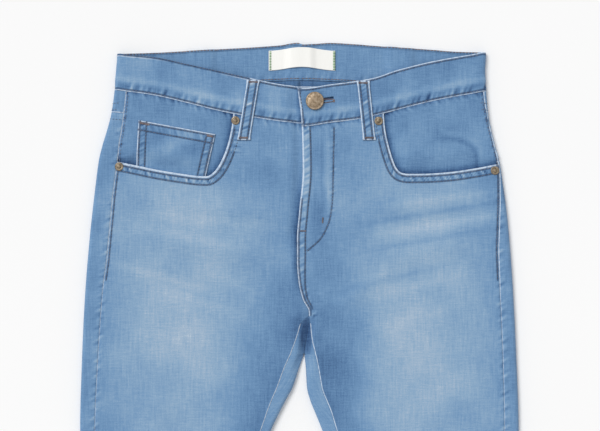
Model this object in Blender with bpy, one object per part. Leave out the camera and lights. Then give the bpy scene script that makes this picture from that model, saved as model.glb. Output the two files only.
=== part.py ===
"""Skinny jeans laid flat on their back, front up, waist towards +Y and hems towards -Y.

Every cloth piece is cut from one garment surface. A point of that surface has a side (-1 the wearer's right,
which lies at -X, and +1 the left), a run s in millimetres from the side fold (positive over the front sheet,
negative over the back sheet) and a drop "down" in millimetres below the top of the back waist.
Sizes are in millimetres and become metres when a mesh is made.
"""

import math

import bmesh
import bpy
import numpy as np
from mathutils import Matrix, Vector

MM = 0.001

# Driving sizes
PANEL = 1.2                 # denim of the legs and yokes
BAND = 2.2                  # doubled denim of the waistband
FACING = 1.1
HEM = 2.3                   # denim turned up twice at the ankle
HEM_HEIGHT = 12.0
SEAM_GAP = 0.3
HALF_GAP = SEAM_GAP / 2
LOOP_THICK = 1.6
LOOP_GAP = 0.4
POCKET_THICK = 1.2
ROLL = 1.1                  # breadth of a side fold over its half height
QUARTER = 1.63              # run of a quarter fold over its half height
LENGTH = 1036.0             # top of the back waist to the hem
SPLIT = 300.0               # where the two legs part
CROTCH = 263.0              # where the four leg seams meet
FLY_END = 178.0             # bar tack that closes the fly
UNDERLAP = 6.0              # right front under the fly edge
BAND_UNDERLAP = 34.0        # waistband's button end under its buttonhole end
GROOVE = 8.0                # half width of the hollow between the thighs
LOWEST_CREST = 2.8          # two cloths folded at the bottom of that hollow
POCKET_REACH = 24.0         # facing hidden behind the pocket mouth
EDGE_STEP = 0.05            # for slopes of the surface


def table(names, *rows):
    """A table with named columns. The first column is the one it is read by."""
    return dict(zip(names.split(), np.array(rows, float).T))


OUTLINE = table(
    "down right left",
    (0.0, 176.6, 178.6),
    (12.5, 176.6, 178.6),
    (27.0, 177.6, 177.8),
    (48.0, 179.2, 178.8),
    (70.0, 182.4, 180.8),
    (84.5, 186.2, 183.6),
    (99.0, 190.6, 187.2),
    (113.0, 194.0, 191.0),
    (142.0, 197.8, 195.8),
    (185.0, 202.6, 200.6),
    (243.0, 207.4, 204.8),
    (300.0, 210.2, 207.6),
    (373.0, 212.2, 210.0),
    (470.0, 211.0, 209.4),
    (603.0, 206.4, 205.0),
    (800.0, 199.0, 198.0),
    (1036.0, 186.0, 185.0),
)
# How far the outseam lies in from the outline, over the front
OUTSEAM = table(
    "down right left",
    (0.0, 12.0, 3.6),
    (50.0, 12.0, 3.0),
    (66.0, 12.5, 2.0),
    (92.0, 15.5, 1.2),
    (117.0, 18.6, 1.4),
    (144.0, 18.4, 4.5),
    (177.0, 19.0, 9.0),
    (205.0, 19.0, 12.0),
    (240.0, 17.2, 12.8),
    (294.0, 16.0, 13.0),
    (373.0, 14.6, 13.8),
    (1036.0, 11.0, 11.0),
)
# The centre seam of the front: the fly edge, then the seam that curves away between the thighs
CENTRE_FRONT = table(
    "down x",
    (43.0, -3.0),
    (81.0, 1.2),
    (123.0, 2.1),
    (163.0, -1.3),
    (190.0, -3.4),
    (210.0, -3.4),
    (230.0, -1.9),
    (247.0, 2.1),
    (259.0, 8.0),
    (263.0, 8.2),
    (300.0, 3.6),
)
CENTRE_BACK = table("down x", (0.0, 0.0), (40.0, 0.0), (300.0, 3.6))
# Inner edges of the legs, and how far the inseam lies in from them over the front
INNER = table(
    "down right left",
    (300.0, -3.4, 3.8),
    (315.0, 1.9, 5.2),
    (332.0, 7.6, 6.2),
    (344.0, 14.0, 9.2),
    (358.0, 21.2, 14.8),
    (373.0, 28.2, 20.8),
    (411.0, 39.4, 33.0),
    (450.0, 46.6, 41.5),
    (497.0, 51.0, 47.0),
    (603.0, 54.7, 52.5),
    (800.0, 56.4, 55.0),
    (1036.0, 59.0, 58.0),
)
# From the crotch the inseam first lies in the hollow, so it is a distance from the hollow's middle down to SPLIT
INSEAM = table(
    "down right left",
    (263.0, 0.0, 0.0),
    (271.0, 4.0, 1.6),
    (279.4, 7.4, 3.4),
    (288.0, 10.2, 6.0),
    (300.5, 13.0, 10.6),
    (318.0, 14.4, 12.6),
    (330.0, 14.8, 14.0),
    (350.0, 12.8, 16.0),
    (373.0, 9.8, 14.0),
    (450.0, 9.0, 11.0),
    (1036.0, 9.0, 10.0),
)
DEPTH = table(
    "down height",
    (0.0, 7.5),
    (150.0, 7.6),
    (263.0, 7.2),
    (373.0, 6.8),
    (603.0, 6.2),
    (1036.0, 5.6),
)
# Height of the middle of the front: the hollow runs down from the end of the centre seam to where the legs part
CREST = table(
    "down share",
    (244.0, 1.0),
    (252.0, 0.96),
    (262.0, 0.66),
    (272.0, 0.40),
    (294.0, 0.0),
    (304.0, 0.0),
    (322.0, 0.75),
    (345.0, 1.0),
)
BAND_EDGES = table(
    "x front_top front_low back_top back_low",
    (-180.0, 10.8, 45.9, 10.8, 45.9),
    (-142.0, 14.2, 51.0, 9.8, 45.0),
    (-109.0, 21.1, 58.5, 8.0, 42.8),
    (-82.0, 27.0, 65.3, 6.5, 40.6),
    (-51.0, 33.9, 71.4, 4.8, 38.6),
    (-20.0, 40.4, 76.2, 2.6, 37.0),
    (-3.0, 43.2, 79.0, 0.8, 36.5),
    (3.0, 44.0, 80.6, 2.0, 36.5),
    (28.0, 40.8, 77.6, 0.2, 37.2),
    (54.0, 37.4, 74.4, 1.6, 38.6),
    (71.0, 34.2, 70.8, 3.0, 39.8),
    (93.0, 26.9, 65.2, 4.6, 41.2),
    (126.0, 18.7, 57.0, 6.8, 43.6),
    (152.0, 13.9, 51.9, 8.8, 45.2),
    (180.0, 9.4, 47.2, 9.4, 47.2),
)
# Seam of yoke and back leg, by distance from the centre back
YOKE_SEAM = table("across down", (0.0, 91.0), (60.0, 84.0), (120.0, 75.0), (170.0, 68.5), (200.0, 66.0))
# Front pocket mouths, from the waist seam to the outseam: how far from the centre line, and down
MOUTH = {
    -1: table("x down", (64.6, 69.2), (65.8, 80.0), (69.4, 96.0), (74.0, 108.0), (80.6, 118.0), (90.0, 125.6),
              (100.0, 127.8), (116.0, 127.2), (136.0, 124.2), (158.0, 119.8), (175.6, 116.4)),
    1: table("x down", (80.0, 69.4), (82.6, 84.0), (86.2, 98.0), (89.8, 110.0), (94.0, 122.0), (97.4, 128.6),
             (104.0, 131.4), (120.0, 131.6), (142.0, 130.0), (166.0, 126.4), (190.4, 122.2)),
}
# Largest folds of the front: a long low ridge or trough around a line that leans from +X, on one side
FOLDS = table(
    "x down lean length width height",
    (-80.0, 158.0, -12.0, 150.0, 9.0, 0.9),
    (-95.0, 196.0, -9.0, 170.0, 11.0, 0.9),
    (-100.0, 236.0, -4.0, 150.0, 13.0, -0.7),
    (-10.5, 140.0, 89.0, 90.0, 5.0, -0.9),
    (120.0, 150.0, 12.0, 140.0, 8.0, 1.0),
    (132.0, 172.0, 10.0, 110.0, 7.0, -0.8),
    (105.0, 205.0, 13.0, 150.0, 11.0, 0.8),
    (60.0, 238.0, 34.0, 90.0, 9.0, 0.8),
    (-50.0, 246.0, -32.0, 90.0, 9.0, 0.7),
    (-150.0, 420.0, 78.0, 260.0, 16.0, 0.9),
    (140.0, 470.0, -80.0, 280.0, 16.0, 0.8),
    (-130.0, 622.0, 8.0, 110.0, 10.0, 0.9),
    (126.0, 646.0, -10.0, 110.0, 10.0, 0.8),
    (-118.0, 900.0, 20.0, 90.0, 11.0, 0.7),
    (128.0, 870.0, -18.0, 90.0, 11.0, 0.7),
)
# Belt loops: middle of the upper and lower end
FRONT_LOOPS = table(
    "x_top down_top x_low down_low",
    (-45.3, 36.4, -54.6, 94.2),
    (60.0, 37.2, 66.0, 94.2),
)
BACK_LOOPS = table("x_top down_top x_low down_low", (-96.0, 8.4, -98.0, 65.0), (96.0, 5.8, 98.0, 62.6),
                   (0.0, 3.6, 0.0, 60.0))
LOOP_WIDTH = 11.6
LOOP_BODY = 10.2
# Back pockets, on the back sheet
POCKET_X = 86.0
POCKET_TOP = 15.0           # below the yoke seam
POCKET_WIDE = 128.0
POCKET_NARROW = 112.0
POCKET_HIGH = 128.0
POCKET_POINT = 14.0
LIFT_BLEND = 8.0


def read(tab, column, at):
    """Smooth curve through one column of a table: a cubic between rows that never overshoots them."""
    x, y = next(iter(tab.values())), tab[column]
    step = np.diff(x)
    slope = np.diff(y) / step
    pair = slope[:-1] * slope[1:]
    bend = np.where(pair > 0, 2 * pair / np.where(pair > 0, slope[:-1] + slope[1:], 1.0), 0.0)
    tangent = np.concatenate([slope[:1], bend, slope[-1:]])
    i = np.clip(np.searchsorted(x, at) - 1, 0, len(x) - 2)
    t = np.clip((at - x[i]) / step[i], 0.0, 1.0)
    return (
        y[i] * (1 + 2 * t) * (1 - t) ** 2
        + step[i] * tangent[i] * t * (1 - t) ** 2
        + y[i + 1] * t * t * (3 - 2 * t)
        + step[i] * tangent[i + 1] * t * t * (t - 1)
    )


def two_sided(tab, side, down):
    """A table's right or left column, by side."""
    return np.where(side < 0, read(tab, "right", down), read(tab, "left", down))


def smooth(t):
    """Runs from 0 to 1 with level ends."""
    t = np.clip(t, 0.0, 1.0)
    return t * t * (3 - 2 * t)


def middle_x(side, down):
    """Signed x of the inner edge of a side's front sheet: the centre line, then the leg's inner edge."""
    return np.where(down < SPLIT, read(CENTRE_FRONT, "x", down), side * two_sided(INNER, side, down))


def crest(down):
    """Height of the cloth at the middle line or the inner edge."""
    full = read(DEPTH, "height", down)
    return LOWEST_CREST + (full - LOWEST_CREST) * read(CREST, "share", down)


def fold_relief(x, down):
    """Sum of the largest folds: a bump across each fold's line, fading towards its ends."""
    total = np.zeros(np.broadcast(x, down).shape)
    for fx, fd, lean, length, width, height in zip(*FOLDS.values()):
        c, s = math.cos(math.radians(lean)), math.sin(math.radians(lean))
        along = (x - fx) * c - (down - fd) * s
        across = (x - fx) * s + (down - fd) * c
        total += height * np.exp(-((across / width) ** 2)) * (1 - smooth(np.abs(2 * along / length) ** 1.5))
    return total


def front_height(side, x, down):
    """Height of the front sheet's outer face over the surface that the jeans lie on."""
    full = read(DEPTH, "height", down)
    away = np.abs(x - middle_x(side, down))
    edge = np.abs(np.abs(x) - two_sided(OUTLINE, side, down))
    calm = smooth(edge / 18.0) * smooth((down - 136.0) / 34.0) * smooth((LENGTH - down) / 60.0)
    calm = calm * np.where(down < CROTCH - 20.0, 1.0, smooth(away / 26.0))
    height = full + fold_relief(x, down) * calm
    return height - (height - crest(down)) * (1 - smooth(away / GROOVE))


def yoke_seam(x):
    return read(YOKE_SEAM, "down", np.abs(x))


def box_lift(x, down, x0, top, low, half_width, lift):
    """Lift over a piece under the back sheet, falling away around it."""
    across = np.maximum(np.abs(x - x0) - half_width, 0.0)
    over = np.maximum(np.maximum(top - down, down - low), 0.0)
    return lift * (1 - smooth(np.hypot(across, over) / LIFT_BLEND))


def back_height(x, down):
    """Height of the back sheet's outer face: flat on the ground, lifted where a pocket or belt loop lies under it."""
    low = yoke_seam(POCKET_X) + POCKET_TOP + POCKET_HIGH + POCKET_POINT + 4.0
    lift = box_lift(np.abs(x), down, POCKET_X, yoke_seam(x) + POCKET_TOP - 1.0, low, POCKET_WIDE / 2 + 1.0,
                    POCKET_THICK + SEAM_GAP)
    for x_top, down_top, _, down_low in zip(*BACK_LOOPS.values()):
        lift = np.maximum(lift, box_lift(x, down, x_top, down_top - 1.0, down_low + 1.0,
                                         LOOP_WIDTH / 2 + 2.0, LOOP_THICK + LOOP_GAP))
    return lift


def fold_sizes(side, down):
    """(breadth, run) of the quarter fold at the side, and of the one at the inner edge of a leg."""
    half = read(DEPTH, "height", down) / 2
    inner = np.where(down < SPLIT, 0.0, crest(down) / 2)
    return ROLL * half, QUARTER * half, ROLL * inner, QUARTER * inner


def run_of_x(side, x, down):
    """Run s over the front sheet of a point seen at x."""
    breadth, run, in_breadth, in_run = fold_sizes(side, down)
    outline = two_sided(OUTLINE, side, down)
    d = outline - side * x
    total = run + np.abs(outline - side * middle_x(side, down)) - breadth - in_breadth + in_run
    left = np.where(down < SPLIT, np.inf, side * (x - middle_x(side, down)))
    near = run * np.arccos(np.clip(1 - d / breadth, -1, 1)) / (math.pi / 2)
    safe = np.maximum(in_breadth, 1e-6)
    far = total - in_run * np.arccos(np.clip(1 - left / safe, -1, 1)) / (math.pi / 2)
    return np.where(d < breadth, near, np.where(left < in_breadth, far, run + d - breadth))


def whole_run(side, down):
    """Run from the side fold to the inner edge of a leg."""
    breadth, run, in_breadth, in_run = fold_sizes(side, down)
    width = two_sided(OUTLINE, side, down) - side * middle_x(side, down)
    return run + width - breadth - in_breadth + in_run


def surface(side, s, down):
    """Point of the garment's outer surface.

    Over each sheet x follows s. Within a quarter ellipse of the side fold, and of the inner edge of a leg,
    x and z follow the ellipse instead. A run past the inner edge comes back over the front sheet.
    """
    side, s, down = np.broadcast_arrays(np.asarray(side, float), s, down)
    breadth, run, in_breadth, in_run = fold_sizes(side, down)
    total = whole_run(side, down)
    parted = down >= SPLIT
    s = np.where(parted & (s < -total), s + 2 * total, s)
    a = np.abs(s)
    outline, middle = two_sided(OUTLINE, side, down), middle_x(side, down)
    turn = np.clip(a / run, 0, 1) * math.pi / 2
    in_turn = np.where(parted, np.clip((total - a) / np.maximum(in_run, 1e-6), 0, 1), 1.0) * math.pi / 2
    x = side * (outline - breadth - (a - run))
    x = np.where(a < run, side * (outline - breadth * (1 - np.cos(turn))), x)
    x = np.where(in_turn < math.pi / 2, middle + side * in_breadth * (1 - np.cos(in_turn)), x)
    sheet = np.where(s >= 0, front_height(side, x, down), back_height(x, down))
    half = read(DEPTH, "height", down) / 2
    z = half + (sheet - half) * np.sin(turn)
    half_crest = crest(down) / 2
    z = np.where(in_turn < math.pi / 2, half_crest + (sheet - half_crest) * np.sin(in_turn), z)
    return np.stack([x, -down, z], axis=-1)


def normals(side, s, down):
    """Outward normal of the surface, from its slopes along s and down."""
    e = EDGE_STEP
    across = surface(side, s + e, down) - surface(side, s - e, down)
    along = surface(side, s, down + e) - surface(side, s, down - e)
    n = np.cross(across, along) * np.asarray(side, float)[..., None]
    return n / np.linalg.norm(n, axis=-1, keepdims=True)


MADE = []


def finish_object(name, mesh, material, smooth_angle=40.0):
    mesh.materials.append(material)
    mesh.shade_smooth()
    mesh.set_sharp_from_angle(angle=math.radians(smooth_angle))
    obj = bpy.data.objects.new(name, mesh)
    bpy.context.scene.collection.objects.link(obj)
    MADE.append(obj)
    return obj


def wall_mesh(name, outer, inner, keep, material):
    """Closed wall between two grids of points. keep marks the cells of the grid that are cloth."""
    rows, columns = keep.shape
    index = np.arange((rows + 1) * (columns + 1)).reshape(rows + 1, columns + 1)
    count = index.size
    cells = np.stack([index[:-1, :-1], index[:-1, 1:], index[1:, 1:], index[1:, :-1]], axis=-1)[keep]
    ends = np.concatenate([np.stack([cells[:, i], cells[:, (i + 1) % 4]], axis=1) for i in range(4)])
    key = ends[:, 0] * count + ends[:, 1]
    twin = ends[:, 1] * count + ends[:, 0]
    rim = ends[~np.isin(key, twin)]
    sides = np.stack([rim[:, 1], rim[:, 0], rim[:, 0] + count, rim[:, 1] + count], axis=1)
    faces = np.concatenate([cells, cells[:, ::-1] + count, sides])
    points = np.concatenate([outer.reshape(-1, 3), inner.reshape(-1, 3)]) * MM
    used, faces = np.unique(faces, return_inverse=True)
    mesh = bpy.data.meshes.new(name)
    mesh.from_pydata(points[used].tolist(), [], faces.reshape(-1, 4).tolist())
    bm = bmesh.new()
    bm.from_mesh(mesh)
    bmesh.ops.recalc_face_normals(bm, faces=bm.faces)
    if bm.calc_volume(signed=True) < 0:
        bmesh.ops.reverse_faces(bm, faces=bm.faces)
    bm.to_mesh(mesh)
    bm.free()
    return finish_object(name, mesh, material)


def wall(name, side, s, down, material, out=0.0, thick=PANEL, keep=None):
    """Cloth piece from grids of runs and drops: its outer face stands out from the surface by "out"."""
    point, normal = surface(side, s, down), normals(side, s, down)
    out, thick = np.broadcast_to(out, s.shape)[..., None], np.broadcast_to(thick, s.shape)[..., None]
    if keep is None:
        keep = np.ones((s.shape[0] - 1, s.shape[1] - 1), bool)
    return wall_mesh(name, point + normal * out, point + normal * (out - thick), keep, material)


def own_drop(columns_at, down):
    """Runs of a grid whose rows aren't level: each column is worked out at its own drops."""
    return np.stack([columns_at(down[:, c])[:, c] for c in range(down.shape[1])], axis=1)


def hung_rows(side, columns_at, lines, shares, rows):
    """(runs, drops) of a grid. Its first rows lie between two lines down(x), by share, and "rows" are level ones."""
    count = columns_at(np.full(1, 60.0)).shape[1]
    shares = np.array(shares)[:, None]
    level = np.repeat(np.asarray(rows, float)[:, None], count, axis=1)
    top = np.full((len(shares), count), 60.0)
    for _ in range(6):
        down = np.concatenate([top, level])
        s = own_drop(columns_at, down)
        x = surface(side, s[: len(shares)], top)[..., 0]
        front = s[: len(shares)] >= 0
        top = lines[0](x, front) * (1 - shares) + lines[1](x, front) * shares
    return s, np.concatenate([top, level])


def material(name, colour, roughness, metallic=0.0):
    mat = bpy.data.materials.new(name)
    mat.use_nodes = True
    shader = mat.node_tree.nodes["Principled BSDF"]
    shader.inputs["Base Color"].default_value = (*colour, 1.0)
    shader.inputs["Roughness"].default_value = roughness
    shader.inputs["Metallic"].default_value = metallic
    return mat


# ---------------------------------------------------------------- seam lines

def outseam_x(side, down):
    return side * (two_sided(OUTLINE, side, down) - two_sided(OUTSEAM, side, down))


def inseam_x(side, down):
    """From the crotch to SPLIT the inseam is measured from the hollow's middle, below it from the leg's edge."""
    return middle_x(side, down) + side * two_sided(INSEAM, side, down)


def band_edge(sheet, level, x):
    return read(BAND_EDGES, f"{sheet}_{level}", x)


def mouth_line(side, shares):
    """Points (x, down) of a front pocket's mouth, by share of its length from the outseam to the waist seam."""
    tab = MOUTH[side]
    t = np.linspace(0, 1, len(tab["x"]))
    fine = np.linspace(0, 1, 200)
    x = read({"t": t, "x": tab["x"]}, "x", fine)
    down = read({"t": t, "down": tab["down"]}, "down", fine)
    run = np.concatenate([[0], np.cumsum(np.hypot(np.diff(x), np.diff(down)))])
    at = run[-1] * (1 - np.asarray(shares))
    return side * np.interp(at, run, x), np.interp(at, run, down)


def above_mouth(side, x, down):
    """Signed distance from the pocket's mouth, positive in the part of the facing that shows."""
    lx, ld = mouth_line(side, np.linspace(0, 1, 160))
    near = np.hypot(x[..., None] - lx, down[..., None] - ld)
    i = near.argmin(axis=-1)
    inside = side * (np.gradient(ld)[i] * (x - lx[i]) - np.gradient(lx)[i] * (down - ld[i])) < 0
    return np.where(inside, near.min(axis=-1), -near.min(axis=-1))


# ---------------------------------------------------------------- cloth pieces

LEG_ROWS = np.array([152, 164, 174, 180, 184, 190, 204, 220, 234, 244, 251, 257, 263.5, 269, 275, 282, 290, 299.2,
                     301.2, 307, 314, 322, 331, 341, 352, 365, 385, 415, 460, 530, 620, 740, 880,
                     LENGTH - HEM_HEIGHT - 0.6, LENGTH - HEM_HEIGHT, LENGTH])
FRONT_TOP_SHARES = (0.0, 0.12, 0.3, 0.52, 0.76)
# Columns of a front panel that start at its pocket mouth: share of the mouth's length, and of the panel's breadth
# up to the first column that keeps a set distance from the inner edge
MOUTH_COLUMNS = table(
    "mouth breadth",
    (0.00, 0.00), (0.12, 0.12), (0.24, 0.24), (0.36, 0.36), (0.48, 0.47), (0.56, 0.53), (0.60, 0.56),
    (0.635, 0.58), (0.67, 0.60), (0.72, 0.625), (0.80, 0.66), (0.90, 0.70), (1.00, 0.74),
)
WAIST_COLUMNS = (0.82, 0.91)
# Rows of the back panel under the yoke seam, in millimetres below it
BACK_TOP_ROWS = (0.0, 6.0, 14.0, 30.0, 45.0, 60.0)
# The last columns of a front panel, in millimetres before its inner edge
BEFORE_EDGE = (19.0, 14.0, 8.0, 5.3, 2.6, 0.0)
# Columns of the back sheet, from the centre back, at the edges of what lies under it
YOKE_COLUMNS = (7.8, 15.8, 48.0, 80.0, 88.0, 104.0, 112.0, 140.0)
BACK_COLUMNS = (13.0, 21.0, 45.0, 75.0, 105.0, 130.0, 151.0, 160.0)


def hem_thickness(down):
    return PANEL + (HEM - PANEL) * (down >= LENGTH - HEM_HEIGHT - 0.1)


def front_middle_x(side, down):
    """The front panel's inner edge: fly or centre seam, then inseam. The right front goes on under the fly."""
    centre = read(CENTRE_FRONT, "x", down)
    if side < 0:
        centre = centre + (UNDERLAP + HALF_GAP) * (1 - smooth((down - FLY_END + 4.0) / 8.0))
    return np.where(down < CROTCH, centre + side * HALF_GAP, inseam_x(side, down) + side * HALF_GAP)


def fly_sink(side, x, down):
    """The right front drops under the fly edge by the thickness of the left front."""
    if side > 0:
        return 0.0
    over = read(CENTRE_FRONT, "x", down) - x
    return (PANEL + SEAM_GAP) * (1 - smooth((over - 3.0) / 8.0)) * (1 - smooth((down - FLY_END - 5.0) / 8.0))


def front_columns(side, down):
    """Runs of a front panel's columns at each drop, from the outseam to the inner edge."""
    low = (run_of_x(side, outseam_x(side, down), down) + HALF_GAP)[:, None]
    high = run_of_x(side, front_middle_x(side, down), down)[:, None]
    shares = np.concatenate([MOUTH_COLUMNS["breadth"], WAIST_COLUMNS])
    return np.concatenate([low + (high - BEFORE_EDGE[0] - low) * shares, high - np.array(BEFORE_EDGE)], axis=1)


def front_panel(name, side, cloth):
    """Columns run down the leg. The first rows blend from the waist seam and pocket mouth to a level row."""
    level_s = front_columns(side, LEG_ROWS)
    columns = level_s.shape[1]
    mx, md = mouth_line(side, MOUTH_COLUMNS["mouth"])
    mx[0] = outseam_x(side, md[0]) - side * 0.2
    md[-1] = band_edge("front", "low", mx[-1]) + 1.5 * SEAM_GAP
    at_waist = front_columns(side, np.full(1, 80.0))[0, len(mx):]
    wx = surface(side, at_waist, np.full(at_waist.shape, 80.0))[..., 0]
    wd = band_edge("front", "low", wx) + 1.5 * SEAM_GAP
    top_x, top_d = np.concatenate([mx, wx]), np.concatenate([md, wd])
    top_s = run_of_x(side, top_x, top_d)
    share = np.array(FRONT_TOP_SHARES)[:, None]
    s = np.concatenate([top_s + (level_s[0] - top_s) * share, level_s])
    down = np.concatenate([top_d + (LEG_ROWS[0] - top_d) * share, np.repeat(LEG_ROWS[:, None], columns, axis=1)])
    s[:, 0] = run_of_x(side, outseam_x(side, down[:, 0]), down[:, 0]) + HALF_GAP
    for c in range(columns - len(BEFORE_EDGE), columns):
        s[:, c] = front_columns(side, down[:, c])[:, c]
    x = surface(side, s, down)[..., 0]
    return wall(name, side, s, down, cloth, out=-fly_sink(side, x, down), thick=hem_thickness(down))


def sheet_run(side, x, down):
    """Run, before the side fold's middle, of a point of the back sheet."""
    return -run_of_x(side, x, down)


def round_the_side(side, down, columns):
    """Runs from the outseam over the front, round the side fold and over the back to the given columns."""
    seam = run_of_x(side, outseam_x(side, down), down) - HALF_GAP
    _, run, _, _ = fold_sizes(side, down)
    start = np.minimum(seam, run)
    over = seam[:, None] + (start - seam)[:, None] * np.array([0.0, 0.5])
    turn = start[:, None] - (run + start)[:, None] * np.linspace(0, 1, 7)
    under = [sheet_run(side, side * x, down)[:, None] for x in columns]
    return np.concatenate([over, turn] + under, axis=1)


def back_columns(side, down):
    """Runs of the back panel's columns: outseam, side fold, back sheet, then the inner fold to the inseam.

    Where the legs aren't parted the last ones are those of the piece that lies in the hollow over the front.
    """
    parted = down >= SPLIT
    end = np.where(parted, side * middle_x(side, down), side * read(CENTRE_BACK, "x", down) + HALF_GAP)
    _, _, in_breadth, in_run = fold_sizes(side, down)
    end = np.where(parted, end + in_breadth, end)
    outer = two_sided(OUTLINE, side, down) - 7.0
    even = smooth((down - 255.0) / 130.0)
    columns = []
    for i, x in enumerate(reversed(BACK_COLUMNS)):
        share = (i + 1) / (len(BACK_COLUMNS) + 1)
        columns.append(x + (outer + (end - outer) * share - x) * even)
    s = round_the_side(side, down, columns + [end])
    total = whole_run(side, down)
    bottom = s[:, -1]
    inner = bottom[:, None] - (2 * in_run)[:, None] * np.linspace(0, 1, 7)[1:-1]
    inseam = run_of_x(side, inseam_x(side, down) - side * HALF_GAP, down)
    centre = run_of_x(side, read(CENTRE_FRONT, "x", down) + side * HALF_GAP, down)
    first = np.where(parted, bottom - 2 * in_run, centre)
    last = np.where(parted, inseam - 2 * total, inseam)
    web = first[:, None] + (last - first)[:, None] * np.linspace(0, 1, 5)
    return np.concatenate([s, inner, web], axis=1)


INNER_COLUMNS, WEB_COLUMNS = 5, 5


def back_panel(name, side, cloth):
    lines = (lambda x, front: yoke_seam(x) + HALF_GAP, lambda x, front: yoke_seam(x) + HALF_GAP + BACK_TOP_ROWS[-1])
    shares = np.array(BACK_TOP_ROWS) / BACK_TOP_ROWS[-1]
    s, down = hung_rows(side, lambda d: back_columns(side, d), lines, shares, LEG_ROWS)
    keep = np.ones((s.shape[0] - 1, s.shape[1] - 1), bool)
    lateral = s.shape[1] - INNER_COLUMNS - WEB_COLUMNS
    rows = down[:, 0]
    keep[: int(np.argmax(rows >= SPLIT)), lateral - 1:lateral + INNER_COLUMNS] = False
    keep[: int(np.argmax(rows > CROTCH)), lateral - 1:] = False
    return wall(name, side, s, down, cloth, thick=hem_thickness(down), keep=keep)


def yoke(name, side, cloth):
    def columns_at(down):
        end = side * read(CENTRE_BACK, "x", down) + HALF_GAP
        outer = two_sided(OUTLINE, side, down) - 9.0
        return round_the_side(side, down, [outer] + list(reversed(YOKE_COLUMNS)) + [end])

    def top(x, front):
        return np.where(front, band_edge("front", "low", x), band_edge("back", "low", x)) + SEAM_GAP

    s, down = hung_rows(side, columns_at, (top, lambda x, front: yoke_seam(x) - HALF_GAP),
                        (0.0, 0.25, 0.45, 0.66, 1.0), ())
    return wall(name, side, s, down, cloth)


TAIL_HALF, EYE_HALF = 1.3, 3.7
EYE_X, TAIL_X, TAIL_END = 9.9, 17.5, 31.8
BUTTON_X, BUTTON_DOWN = 13.7, 56.6
TOP_END_RISE = 1.0


def end_level(front_end, x):
    """How far each end of the waistband stands out from the surface: the buttonhole end lies on the button end."""
    if front_end == "top":
        return TOP_END_RISE * (1 - smooth((x - 34.0) / 26.0))
    return -(BAND + SEAM_GAP - TOP_END_RISE) * smooth((x + 15.0) / 11.0)


def waistband(cloth):
    """One strip: from the buttonhole end at the fly, round the left side, the back and the right side, to the
    button end that goes on under the first. The buttonhole is left out of the grid."""
    levels = np.array([0.0, 0.3, 0.0, 0.0, 0.0, 0.0, 1.0])
    down_at = BUTTON_DOWN
    high, low = band_edge("front", "top", BUTTON_X), band_edge("front", "low", BUTTON_X)
    for i, drop in zip(range(2, 6), (EYE_HALF, TAIL_HALF, -TAIL_HALF, -EYE_HALF)):
        levels[i] = (low - (down_at + drop)) / (low - high)
    front_left = np.array([0.0, EYE_X, TAIL_X, TAIL_END, 43.0, 54.0, 65.0, 76.0, 92.0, 109.0, 128.0, 147.0, 165.0])
    front_right = np.array([-165.0, -147, -128, -109, -92, -76, -60, -46, -32, -18, -12, -6, 0.0, BAND_UNDERLAP])
    half = np.array((0.0,) + YOKE_COLUMNS + (165.0,))
    back = np.concatenate([half[::-1], -half[1:]])
    at = np.full(1, 30.0)
    run = {k: float(fold_sizes(k, at)[1][0]) for k in (-1, 1)}
    turn = np.linspace(0.93, -0.93, 8)
    side, kind, value = [], [], []
    for x in front_left:
        side.append(1), kind.append("top"), value.append(x)
    for t in turn:
        side.append(1), kind.append("turn"), value.append(t * run[1])
    for x in back:
        side.append(1 if x >= 0 else -1), kind.append("back"), value.append(x)
    for t in -turn:
        side.append(-1), kind.append("turn"), value.append(t * run[-1])
    for x in front_right:
        side.append(-1), kind.append("under"), value.append(x)
    side, value = np.array(side, float), np.array(value)
    kind = np.array(kind)
    rows = len(levels)
    s, down = np.zeros((rows, len(value))), np.zeros((rows, len(value)))
    out = np.zeros_like(s)
    for c, (k, v, sd) in enumerate(zip(kind, value, side)):
        outline = float(two_sided(OUTLINE, sd, at)[0])
        x = sd * outline if k == "turn" else v
        sheet = "front" if k in ("top", "under") or k == "turn" and v >= 0 else "back"
        edge_x = x - 0.6 if k == "under" else x
        top, bottom = band_edge(sheet, "top", edge_x), band_edge(sheet, "low", edge_x)
        down[:, c] = bottom + (top - bottom) * levels
        if k == "turn":
            s[:, c] = v
            continue
        place = np.full(rows, float(x))
        if c == 0:
            place = read(CENTRE_FRONT, "x", down[:, c])
        run_here = run_of_x(sd, place, down[:, c])
        s[:, c] = run_here if sheet == "front" else -run_here
        if k != "back":
            out[:, c] = end_level(k, place)
    keep = np.ones((rows - 1, len(value) - 1), bool)
    keep[2:5, 1] = False
    keep[3, 2] = False
    wide = np.repeat(side[None], rows, axis=0)
    return wall("waistband", wide, s, down, cloth, out=out, thick=BAND, keep=keep)


def facing_sink(side, x, down):
    """The facing drops behind the pocket mouth by the front's thickness, and on the right by the coin pocket's too."""
    extra = (FACING + 1.5 * SEAM_GAP) * smooth((down - 72.0) / 14.0) if side < 0 else 0.0
    return (PANEL + 1.5 * SEAM_GAP + extra) * (1 - smooth((above_mouth(side, x, down) - 2.0) / 18.0))


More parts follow.
